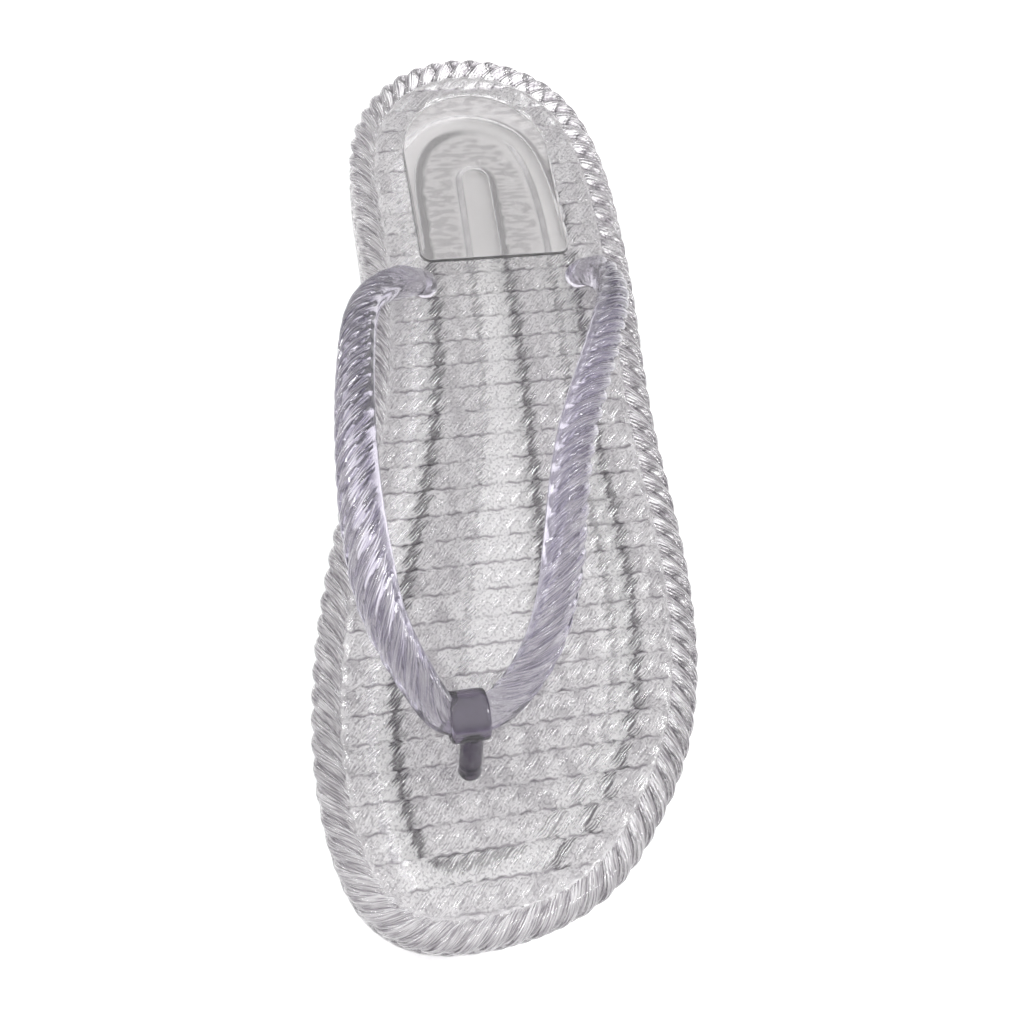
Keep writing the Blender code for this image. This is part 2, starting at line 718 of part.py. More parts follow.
def close_tube(shell, loops):
    """Join a row of the strap's sections and close both ends."""
    for first, second in zip(loops, loops[1:]):
        shell.bridge(second, first)
    shell.cap(loops[0], reverse=False)
    shell.cap(loops[-1], reverse=True)


def strap():
    """The strap: plug, neck, inner arm, the stretch inside the ring, outer arm, neck and plug."""
    shell = Shell()
    at, (start, end) = strap_line()
    between = np.arange(math.ceil(start / STRAP_STEP + 0.5), math.floor(end / STRAP_STEP + 0.5))
    arms = strap_rings(shell, at, [start, *between * STRAP_STEP, end])
    turns = np.arange(STRAP_SIDES) * 2 * math.pi / STRAP_SIDES
    plugs = []
    for anchor, place in ((ANCHORS[0], start), (ANCHORS[1], end)):
        _, backs, sides, *_ = at([place])
        spokes = np.cos(turns)[:, None] * sides[0] + np.sin(turns)[:, None] * backs[0]
        plugs.append([shell.ring([(*(anchor + radius * spoke[:2]), height) for spoke in spokes])
                      for radius, height in plug_levels(anchor[1], STEM_RADIUS)[:-1]])
    close_tube(shell, plugs[0] + arms + plugs[1][::-1])
    return add_object("strap", shell)


# Toe post


def ring_collar(at):
    """The ring before its bore is cut: a straight collar across the strap, with rounded ends."""
    half = RING_LENGTH / 2
    wall = CLEARANCE + RING_WALL
    soft = wall - RING_ROUNDING
    shell = Shell()
    loops = []
    for reach, grow in ((-half, soft), (RING_ROUNDING - half, wall), (half - RING_ROUNDING, wall), (half, soft)):
        loops += strap_rings(shell, at, [0.0], grow, shift=(reach, 0, 0))
    close_tube(shell, loops)
    return add_object("toe_post", shell)


def ring_bore(at):
    """Cutter for the ring's bore: the strap itself with the clearance round it."""
    steps = math.ceil((RING_LENGTH + RING_STRAP_WIDTH) / 2 / STRAP_STEP)
    shell = Shell()
    close_tube(shell, strap_rings(shell, at, np.arange(-steps, steps + 1) * STRAP_STEP, CLEARANCE))
    return add_object("ring_bore", shell, cutter=True)


def toe_post():
    """The post between the toes with its plug, and the ring on its top that holds the strap."""
    at, _ = strap_line()
    ring = ring_collar(at)
    bore = ring_bore(at)
    shell = Shell()
    x, y = POST_PLACE
    levels = plug_levels(y, POST_RADIUS)
    rings = [shell.loop(circle(x, y, radius, POST_SIDES), height) for radius, height in levels]
    centre = ring_centre()
    top = np.array([x, y]) + POST_LEAN * (centre[:2] - (x, y))
    rings.append(shell.loop(circle(x, y, POST_RADIUS, POST_SIDES), float(footbed(y)) + ROW_HEIGHT))
    rings.append(shell.loop(circle(*top, POST_RADIUS, POST_SIDES), centre[2]))
    for lower, upper in zip(rings, rings[1:]):
        shell.bridge(lower, upper)
    shell.cap(rings[0], reverse=True)
    shell.cap(rings[-1], reverse=False)
    combine(ring, add_object("post_shaft", shell, cutter=True), "UNION")
    combine(ring, bore, "DIFFERENCE")
    return ring


for leftover in list(bpy.data.objects):
    bpy.data.objects.remove(leftover)
for piece in (sole(), heel_window(), strap(), toe_post()):
    if piece.name != "sole":
        piece.data.shade_smooth()
        piece.data.set_sharp_from_angle(angle=math.radians(40))
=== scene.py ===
import math

import bpy
import numpy as np
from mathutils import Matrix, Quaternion, Vector
from mathutils.geometry import delaunay_2d_cdt
from mathutils.kdtree import KDTree


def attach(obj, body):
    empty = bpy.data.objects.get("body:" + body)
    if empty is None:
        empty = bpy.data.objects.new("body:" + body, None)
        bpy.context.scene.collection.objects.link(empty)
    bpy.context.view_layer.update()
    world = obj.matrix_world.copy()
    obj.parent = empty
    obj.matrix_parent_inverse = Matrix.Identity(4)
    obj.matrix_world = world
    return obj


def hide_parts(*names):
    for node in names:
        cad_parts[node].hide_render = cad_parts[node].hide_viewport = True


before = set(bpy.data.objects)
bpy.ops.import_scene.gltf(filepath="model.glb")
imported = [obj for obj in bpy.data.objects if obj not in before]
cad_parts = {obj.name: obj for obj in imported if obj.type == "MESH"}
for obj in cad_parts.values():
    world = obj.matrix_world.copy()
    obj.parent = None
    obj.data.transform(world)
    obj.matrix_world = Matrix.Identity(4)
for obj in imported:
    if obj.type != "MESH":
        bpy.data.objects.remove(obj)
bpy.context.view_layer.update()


# Camera
# It stands where the photograph's camera stood over this sandal, above the toe and a little to the inner
# side, and is turned to the middle of the sandal with a longer lens.
CAMERA_PLACE = Vector((-0.0658, -0.1603, 0.3435))
CAMERA_AIM = Vector((0.0064, -0.0194, 0.0120))
CAMERA_ROLL = 19.05
CAMERA_LENS = 48.8

camera = bpy.data.objects.new("camera", bpy.data.cameras.new("camera"))
bpy.context.scene.collection.objects.link(camera)
camera.data.lens = CAMERA_LENS
camera.data.sensor_width = 36.0
camera.data.clip_start = 0.01
camera.location = CAMERA_PLACE
camera.rotation_mode = "QUATERNION"
aimed = (CAMERA_AIM - CAMERA_PLACE).to_track_quat("-Z", "Y")
camera.rotation_quaternion = aimed @ Quaternion((0, 0, 1), math.radians(CAMERA_ROLL))
bpy.context.scene.camera = camera


class Wire:
    """One output of a node tree. Sums on it add Math nodes."""

    def __init__(self, graph, socket):
        self.graph = graph
        self.socket = socket

    def math(self, operation, *values):
        return self.graph.add("ShaderNodeMath", {"operation": operation}, dict(enumerate((self, *values))))

    def __add__(self, other):
        return self.math("ADD", other)

    __radd__ = __add__

    def __mul__(self, other):
        return self.math("MULTIPLY", other)

    __rmul__ = __mul__

    def __sub__(self, other):
        return self.math("SUBTRACT", other)

    def __rsub__(self, other):
        return self.graph.add("ShaderNodeMath", {"operation": "SUBTRACT"}, {0: other, 1: self})

    def __pow__(self, other):
        return self.math("POWER", other)

    def swell(self):
        """Height of a row of round strands, one for each whole number: 1 on a strand, 0 in a groove."""
        place = (self + 0.5).math("FRACT") * 2.0 - 1.0
        return 1.0 - place * place

    def rise(self, low, high):
        """A soft step from 0 at the low value to 1 at the high one."""
        return self.graph.add("ShaderNodeMapRange", {"interpolation_type": "SMOOTHSTEP"},
                              {"Value": self, "From Min": low, "From Max": high})


class Graph:
    """A node tree that is being built."""

    def __init__(self, tree):
        self.tree = tree

    def add(self, kind, settings=None, inputs=None, output=0):
        """Add a node: its settings first, then its sockets' values or links. Returns one of its outputs."""
        node = self.tree.nodes.new(kind)
        for name, value in (settings or {}).items():
            if name == "stops":
                for stop, (place, colour) in zip(node.color_ramp.elements, value):
                    stop.position = place
                    stop.color = colour
            else:
                setattr(node, name, value)
        for name, value in (inputs or {}).items():
            if isinstance(value, Wire):
                self.tree.links.new(value.socket, node.inputs[name])
            elif value is not None:
                node.inputs[name].default_value = value
        return Wire(self, node.outputs[output])


# Floor and light
# A plain white table under a bright white tent, with two narrow lamps whose long reflections draw the
# white streaks on the strands.
FLOOR_SIZE = 4.0
FLOOR_GAP = 0.0002
FLOOR_COLOUR = (0.90, 0.90, 0.90, 1.0)
TENT_TOP = (1.0, 1.0, 1.0, 1.0)
TENT_SIDE = (0.22, 0.21, 0.25, 1.0)
TENT_STRENGTH = 1.77
LIGHT_BOUNCES = 9
DIFFUSE_BOUNCES = 2
LAMPS = (
    # name, place, width, length, power
    ("lamp_left", (-0.55, 0.25, 0.55), 0.05, 0.70, 3.0),
    ("lamp_right", (0.60, -0.10, 0.60), 0.09, 0.70, 4.0),
)

floor_mesh = bpy.data.meshes.new("floor")
half = FLOOR_SIZE / 2
floor_mesh.from_pydata([(-half, -half, -FLOOR_GAP), (half, -half, -FLOOR_GAP),
                        (half, half, -FLOOR_GAP), (-half, half, -FLOOR_GAP)], [], [(0, 1, 2, 3)])
floor = bpy.data.objects.new("floor", floor_mesh)
bpy.context.scene.collection.objects.link(floor)
paint = bpy.data.materials.new("floor_white")
paint.use_nodes = True
paint.node_tree.nodes["Principled BSDF"].inputs["Base Color"].default_value = FLOOR_COLOUR
paint.node_tree.nodes["Principled BSDF"].inputs["Roughness"].default_value = 0.9
paint.node_tree.nodes["Principled BSDF"].inputs["Specular IOR Level"].default_value = 0.0
floor_mesh.materials.append(paint)

world = bpy.data.worlds.new("tent")
bpy.context.scene.world = world
world.use_nodes = True
tent = Graph(world.node_tree)
direction = tent.add("ShaderNodeTexCoord")
height = tent.add("ShaderNodeSeparateXYZ", None, {0: direction}, output=2)
side_to_top = tent.add("ShaderNodeMix", {"data_type": "RGBA"},
                       {0: height.rise(0.0, 0.75), 6: TENT_SIDE, 7: TENT_TOP}, output=2)
background = world.node_tree.nodes["Background"]
world.node_tree.links.new(side_to_top.socket, background.inputs["Color"])
background.inputs["Strength"].default_value = TENT_STRENGTH
world.cycles.sampling_method = "NONE"

for name, place, width, length, power in LAMPS:
    data = bpy.data.lights.new(name, "AREA")
    data.shape = "RECTANGLE"
    data.size = width
    data.size_y = length
    data.energy = power
    lamp = bpy.data.objects.new(name, data)
    bpy.context.scene.collection.objects.link(lamp)
    lamp.location = place
    lamp.rotation_mode = "QUATERNION"
    lamp.rotation_quaternion = (-Vector(place)).to_track_quat("-Z", "Y")
    lamp.visible_transmission = False

bpy.context.scene.view_settings.view_transform = "Standard"
bpy.context.scene.cycles.max_bounces = LIGHT_BOUNCES
bpy.context.scene.cycles.transmission_bounces = LIGHT_BOUNCES
bpy.context.scene.cycles.diffuse_bounces = DIFFUSE_BOUNCES


# Sole
# One moulding of clear soft plastic: a footbed of rope-like rows, two twisted-rope courses round its side,
# a smooth base with channels below, a pocket for the window at the heel and sockets for the three stems.
SOLE_LENGTH = 0.2582
SOLE_WIDTH = 0.1063
SOLE_THICKNESS = 0.0170
TOE_SPRING = 0.0050
ARCH_LIFT = 0.0015
HALF_LENGTH = SOLE_LENGTH / 2
HALF_WIDTH = SOLE_WIDTH / 2
HEEL_RADIUS = 0.348 * SOLE_WIDTH
HEEL_AXIS = 0.135 * SOLE_WIDTH
HEEL_ARC = (5, 165)
HEEL_ARC_STEPS = 5
OUTLINE = (
    # across, along, as shares of half the sizes
    (-0.447, 0.604),
    (-0.458, 0.418),
    (-0.515, 0.217),
    (-0.627, 0.023),
    (-0.769, -0.155),
    (-0.891, -0.325),
    (-0.972, -0.492),
    (-1.000, -0.655),
    (-0.966, -0.794),
    (-0.859, -0.912),
    (-0.665, -0.979),
    (-0.383, -1.000),
    (-0.044, -0.984),
    (0.247, -0.932),
    (0.507, -0.831),
    (0.710, -0.713),
    (0.848, -0.577),
    (0.927, -0.403),
    (0.947, -0.225),
    (0.936, -0.031),
    (0.953, 0.170),
    (0.983, 0.325),
    (1.000, 0.511),
)
PROFILE = (
    # along, toe lift, arch lift, thickness
    (-1.00, 1.00, 0.0, 0.84),
    (-0.85, 0.42, 0.0, 0.84),
    (-0.70, 0.10, 0.0, 0.85),
    (-0.58, 0.00, 0.0, 0.86),
    (-0.25, 0.00, 0.0, 0.87),
    (0.00, 0.00, 0.6, 0.89),
    (0.15, 0.00, 1.0, 0.92),
    (0.32, 0.00, 0.6, 0.96),
    (0.50, 0.00, 0.0, 1.00),
    (1.00, 0.00, 0.0, 1.00),
)
ROPE_RADIUS = 0.0040
ROPE_PITCH = 0.0062
ROPE_COLUMNS = 10
RIM_RISE = 0.0020
RIM_STRAND_DEPTH = 0.0011
LOWER_SETBACK = 0.0004
COURSE_GROOVE = 0.0016
BASE_BAND = 0.0030
BASE_SETBACK = 0.0010
BASE_CHAMFER = 0.0008
LOWER_TURNS = (-60, 60, 9)
UPPER_TURNS = (-38, 148, 22)
FOOTBED_EDGE = 0.0075
ROW_PITCH = 0.0072
ROW_HEIGHT = 0.0009
ROW_GROOVE_TO_PLATE = 0.0047
ROW_STRAND_PITCH = 0.0040
ROW_STRAND_LAY = 2.5
ROW_STRAND_SHARE = 0.34
ROW_STRAND_SHIFT = 0.37
ROW_WAVE = 0.00022
ROW_COLUMNS = 6
ROW_SHARES = (0.0, 0.045, 0.12, 0.24, 0.38, 0.50, 0.62, 0.76, 0.88, 0.955)
CHANNEL_DEPTH = 0.0030
CHANNEL_DRAFT = 0.0007
CHANNEL_WALL = 0.0024
CHANNEL_WALL_START = 0.2
CHANNEL_WALL_STEPS = 9
RING_CHANNEL_INSET = 0.0145
RING_CHANNEL_WIDTH = 0.0065
MID_CHANNEL = (
    # across and along as shares of half the sole, half width as a share of the sole's width
    (0.276, 0.700, 0.049),
    (0.254, 0.400, 0.052),
    (0.200, 0.120, 0.061),
    (0.123, -0.100, 0.080),
    (0.038, -0.300, 0.095),
    (-0.061, -0.460, 0.093),
)
MID_CHANNEL_TOE_ROUND = 0.45
PLATE_WIDTH = 0.0428
PLATE_LENGTH = 0.0575
PLATE_CORNER = 0.0030
PLATE_BACK = HALF_LENGTH - 0.0146
PLATE_FRONT = PLATE_BACK - PLATE_LENGTH
POCKET_DEPTH = 0.0015
CLEARANCE = 0.0003
# Painted shade: a near-black colour mixed onto the channel walls in place of their dark refraction through the
# sole.
WALL_SHADE_TINT = (0.030, 0.018, 0.032, 1.0)
WALL_SHADE_COVER = 0.96
THREADS_PER_STRAND = 4.0
THREAD_DEPTH = 0.00014
STRAND_ROUND = 0.00010
FIBRES_PER_STRAND = 14.0
FIBRE_BREAKS = 2.8
SPECKS = Vector((1500.0, 1500.0, 1500.0))
SCORES = Vector((220.0, 800.0, 220.0))
STEM_RADIUS = 0.0034
POST_RADIUS = 0.0028
STEM_SEEN = 0.0012
STEM_GAP = 0.0001
ANCHORS = [np.array([HEEL_AXIS + side * 0.0438 / 2, PLATE_FRONT - 0.0084]) for side in (-1, 1)]
POST_PLACE = np.array([-0.0161, 0.0424 - HALF_LENGTH])


def spline(points, closed=False):
    """Return the knots and a reader of the cubic curve through the points, by distance along their chords."""
    points = np.asarray(points, float)
    if closed:
        points = np.vstack([points, points[:1]])
    steps = np.linalg.norm(np.diff(points, axis=0), axis=1)
    knots = np.concatenate([[0.0], np.cumsum(steps)])
    slopes = np.diff(points, axis=0) / steps[:, None]
    count = len(points)
    system = np.eye(count)
    target = np.zeros_like(points)
    for i in range(1, count - 1):
        system[i, i - 1:i + 2] = steps[i - 1], 2 * (steps[i - 1] + steps[i]), steps[i]
        target[i] = 6 * (slopes[i] - slopes[i - 1])
    if closed:
        system[0, 0] = 2 * (steps[-1] + steps[0])
        system[0, 1] = steps[0]
        system[0, -2] = steps[-1]
        target[0] = 6 * (slopes[0] - slopes[-1])
        system[-1, 0] = -1
    bends = np.linalg.solve(system, target)

    def read(where):
        i = np.clip(np.searchsorted(knots, where, side="right") - 1, 0, count - 2)
        step = steps[i][:, None]
        a = (knots[i + 1] - where)[:, None] / step
        b = 1 - a
        curve = (a**3 - a) * bends[i] + (b**3 - b) * bends[i + 1]
        return a * points[i] + b * points[i + 1] + curve * step**2 / 6

    return knots, read


def ease(knots, values, where):
    """Read a column smoothly between its rows without passing their highest or lowest value."""
    knots = np.asarray(knots, float)
    values = np.asarray(values, float)
    slopes = np.diff(values) / np.diff(knots)
    tangents = np.zeros(len(values))
    for i in range(1, len(values) - 1):
        if slopes[i - 1] * slopes[i] > 0:
            tangents[i] = 2 / (1 / slopes[i - 1] + 1 / slopes[i])
    where = np.clip(where, knots[0], knots[-1])
    i = np.clip(np.searchsorted(knots, where, side="right") - 1, 0, len(knots) - 2)
    step = knots[i + 1] - knots[i]
    t = (where - knots[i]) / step
    start = values[i] * (1 + 2 * t) * (1 - t) ** 2 + tangents[i] * step * t * (1 - t) ** 2
    end = values[i + 1] * t**2 * (3 - 2 * t) - tangents[i + 1] * step * t**2 * (1 - t)
    return start + end


def profile(column, y):
    """Read one column of the side view at the place y."""
    rows = np.array(PROFILE)
    return ease(rows[:, 0], rows[:, column], np.asarray(y) / HALF_LENGTH)


def underside(y):
    """Height of the tread above the floor."""
    return profile(1, y) * TOE_SPRING + profile(2, y) * ARCH_LIFT


def footbed(y):
    """Height of the footbed between its rope rows."""
    return underside(y) + profile(3, y) * SOLE_THICKNESS


class Edge:
    """The sole's outer edge seen from above, counter-clockwise, read by strands from the heel's outer end."""

    def __init__(self):
        turns = np.radians(np.linspace(*HEEL_ARC, HEEL_ARC_STEPS + 1))
        arc = np.column_stack([HEEL_AXIS + HEEL_RADIUS * np.cos(turns),
                               HALF_LENGTH - HEEL_RADIUS + HEEL_RADIUS * np.sin(turns)])
        knots, read = spline(np.vstack([arc, np.array(OUTLINE) * (HALF_WIDTH, HALF_LENGTH)]), closed=True)
        loop = read(np.linspace(0, knots[-1], 8000))
        low, high = loop.min(axis=0), loop.max(axis=0)
        self.loop = (loop - (low + high) / 2) * (SOLE_WIDTH, SOLE_LENGTH) / (high - low)
        steps = np.linalg.norm(np.diff(self.loop, axis=0), axis=1)
        self.travelled = np.concatenate([[0], np.cumsum(steps)])
        self.strands = round(self.travelled[-1] / ROPE_PITCH)
        along = np.roll(self.loop[:-1], -1, axis=0) - np.roll(self.loop[:-1], 1, axis=0)
        along /= np.linalg.norm(along, axis=1)[:, None]
        inward = np.column_stack([-along[:, 1], along[:, 0]])
        self.inward = np.vstack([inward, inward[:1]])

    def read(self, strands):
        """Places and inward directions at the given counts of strands."""
        where = (np.asarray(strands) / self.strands % 1.0) * self.travelled[-1]
        spots = np.column_stack([np.interp(where, self.travelled, self.loop[:, i]) for i in range(2)])
        inward = np.column_stack([np.interp(where, self.travelled, self.inward[:, i]) for i in range(2)])
        return spots, inward / np.linalg.norm(inward, axis=1)[:, None]


def inside(loop, spots):
    """Tell which spots lie inside a closed loop."""
    x, y = spots[:, 0], spots[:, 1]
    odd = np.zeros(len(spots), bool)
    for (ax, ay), (bx, by) in zip(loop, np.roll(loop, -1, axis=0)):
        if ay != by:
            odd ^= ((ay > y) != (by > y)) & (x < ax + (y - ay) * (bx - ax) / (by - ay))
    return odd


def clear_of(loops, spots):
    """Distance from each spot to the nearest point of the loops."""
    points = np.vstack(loops)
    tree = KDTree(len(points))
    for i, (x, y) in enumerate(points):
        tree.insert((x, y, 0), i)
    tree.balance()
    return np.array([tree.find((x, y, 0))[2] for x, y in spots])


class Skin:
    """A closed surface gathered from rings of points, bands between them and filled regions.

    Each point has its place, its count of strands, its place in a row, the shares of the strands' and of
    the rows' relief there, its grain (1 where the surface is textured), its share of painted shade on a
    channel's wall (most near half its height), and the way that is out.
    """

    COLUMNS = ("x", "y", "z", "strand", "row", "relief", "bulge", "grain", "wall", "out_x", "out_y", "out_z")

    def __init__(self):
        self.rows = []
        self.count = 0
        self.corners = []
        self.faces = []

    def points(self, places, strand=0.0, row=0.0, relief=0.0, bulge=0.0, grain=0.0, wall=0.0,
               out=(0, 0, 1)):
        """Add points and return their numbers."""
        places = np.asarray(places, float)
        table = np.zeros((len(places), len(self.COLUMNS)))
        table[:, :3] = places
        for i, values in enumerate((strand, row, relief, bulge, grain, wall), start=3):
            table[:, i] = values
        table[:, 9:] = out
        self.rows.append(table)
        self.count += len(places)
        return np.arange(self.count - len(places), self.count)

    def band(self, first, second, strands=0):
        """Join two rings of equal count with squares; the last square closes the count of strands."""
        ahead = np.roll(first, -1), np.roll(second, -1)
        self.faces += np.column_stack([first, ahead[0], ahead[1], second]).tolist()
        shift = np.zeros((len(first), 4))
        shift[-1, 1:3] = strands
        self.corners.append(shift.ravel())

    def fan(self, ring, reverse):
        """Close a small ring with one point in its middle."""
        places = np.vstack(self.rows)[ring, :3]
        middle = self.points([places.mean(axis=0)])[0]
        pairs = zip(ring, np.roll(ring, -1))
        self.faces += [(b, a, middle) if reverse else (a, b, middle) for a, b in pairs]
        self.corners.append(np.zeros(3 * len(ring)))

    def fill(self, outer, holes, inner, up, seams=(), lay=None):
        """Fill the region between an outer ring and its holes, through the inner points and along the
        seams that join pairs of them. A lay reads the faces' counts of strands from their corners."""
        table = np.vstack(self.rows)
        places = table[:, :2]
        numbers = np.concatenate([outer, *holes, inner]).astype(int)
        edges = []
        start = 0
        for ring in (outer, *holes):
            edges += [(start + i, start + (i + 1) % len(ring)) for i in range(len(ring))]
            start += len(ring)
        order = {number: i for i, number in enumerate(numbers)}
        edges += [(order[a], order[b]) for a, b in seams]
        flat = [Vector(spot) for spot in places[numbers] * 1000]
        spots, _, triangles, origins, _, _ = delaunay_2d_cdt(flat, edges, [], 0, 1e-5)
        spots = np.array(spots)
        triangles = np.array(triangles)
        middles = spots[triangles].mean(axis=1)
        keep = inside(places[outer] * 1000, middles)
        for ring in holes:
            keep &= ~inside(places[ring] * 1000, middles)
        triangles = triangles[keep]
        first = np.array([names[0] for names in origins])
        a, b, c = (spots[triangles[:, i]] for i in range(3))
        left = (b[:, 0] - a[:, 0]) * (c[:, 1] - a[:, 1]) - (b[:, 1] - a[:, 1]) * (c[:, 0] - a[:, 0]) > 0
        flip = left != up
        triangles[flip] = triangles[flip][:, ::-1]
        chosen = numbers[first[triangles]]
        self.faces += chosen.tolist()
        shift = np.zeros(chosen.shape)
        if lay is not None:
            shift = lay(table[chosen]) - table[chosen, 3]
        self.corners.append(shift.ravel())

    def piece(self, name):
        """Make the object, with the points' values as attributes and strand and row as its UV map."""
        table = np.vstack(self.rows)
        mesh = bpy.data.meshes.new(name)
        mesh.from_pydata(table[:, :3].tolist(), [], self.faces)
        for i, attribute in enumerate(self.COLUMNS[3:9], start=3):
            layer = mesh.attributes.new(attribute, "FLOAT", "POINT")
            layer.data.foreach_set("value", table[:, i].astype(np.float32))
        layer = mesh.attributes.new("out", "FLOAT_VECTOR", "POINT")
        layer.data.foreach_set("vector", table[:, 9:].astype(np.float32).ravel())
        corner_points = np.concatenate([np.asarray(face) for face in self.faces])
        lay = table[corner_points, 3] + np.concatenate(self.corners)
        uv = mesh.uv_layers.new(name="lay")
        uv.data.foreach_set("uv", np.column_stack([lay, table[corner_points, 4]]).astype(np.float32).ravel())
        piece = bpy.data.objects.new(name, mesh)
        bpy.context.scene.collection.objects.link(piece)
        return piece


def rope_relief():
    """Tree that presses the rope pattern into a moulding: rounded rows, and grooves between the strands."""
    tree = bpy.data.node_groups.new("Rope relief", "GeometryNodeTree")
    tree.interface.new_socket(name="Geometry", in_out="INPUT", socket_type="NodeSocketGeometry")
    tree.interface.new_socket(name="Strand depth", in_out="INPUT", socket_type="NodeSocketFloat")
    tree.interface.new_socket(name="Row height", in_out="INPUT", socket_type="NodeSocketFloat")
    tree.interface.new_socket(name="Material", in_out="INPUT", socket_type="NodeSocketMaterial")
    tree.interface.new_socket(name="Geometry", in_out="OUTPUT", socket_type="NodeSocketGeometry")
    graph = Graph(tree)
    given = tree.nodes.new("NodeGroupInput")
    geometry, strand_depth, row_height, material = (Wire(graph, given.outputs[i]) for i in range(4))

    def stored(name, kind="FLOAT"):
        return graph.add("GeometryNodeInputNamedAttribute", {"data_type": kind}, {"Name": name})

    groove = (stored("strand").swell() - 1.0) * stored("relief") * strand_depth
    row = stored("row").math("FRACT") * 2.0 - 1.0
    bulge = (1.0 - row * row).math("MAXIMUM", 0.0) ** 0.6 * stored("bulge") * row_height
    outward = graph.add("ShaderNodeVectorMath", {"operation": "SCALE"},
                        {0: stored("out", "FLOAT_VECTOR"), "Scale": groove})
    upward = graph.add("ShaderNodeCombineXYZ", None, {2: bulge})
    offset = graph.add("ShaderNodeVectorMath", {"operation": "ADD"}, {0: outward, 1: upward})
    pressed = graph.add("GeometryNodeSetPosition", None, {"Geometry": geometry, "Offset": offset})
    real = graph.add("GeometryNodeRealizeInstances", None, {0: pressed})
    finished = graph.add("GeometryNodeSetMaterial", None, {"Geometry": real, "Material": material})
    ends = tree.nodes.new("NodeGroupOutput")
    tree.links.new(finished.socket, ends.inputs[0])
    return tree


def press(piece, tree, values):
    """Run the tree on a piece with the named inputs, and keep the result as its plain mesh."""
    modifier = piece.modifiers.new(tree.name, "NODES")
    modifier.node_group = tree
    for socket in tree.interface.items_tree:
        if socket.in_out == "INPUT" and socket.name in values:
            modifier[socket.identifier] = values[socket.name]
    settle(piece)


def settle(piece):
    """Keep a piece as its modifiers show it."""
    view = bpy.context.evaluated_depsgraph_get()
    mesh = bpy.data.meshes.new_from_object(piece.evaluated_get(view), preserve_all_data_layers=True,
                                           depsgraph=view)
    mesh.name = piece.name
    piece.modifiers.clear()
    piece.data = mesh


def combine(piece, other, operation):
    """Join another closed shape to a piece, or cut it away, and remove the other."""
    modifier = piece.modifiers.new(operation, "BOOLEAN")
    modifier.operation = operation
    modifier.object = other
    modifier.solver = "EXACT"
    settle(piece)
    bpy.data.objects.remove(other)


def dress(piece, node, sharp):
    """Shade a piece, let it stand for its node and ride with the sandal."""
    piece.data.shade_smooth()
    piece.data.set_sharp_from_angle(angle=math.radians(sharp))
    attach(piece, "root")
    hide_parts(node)


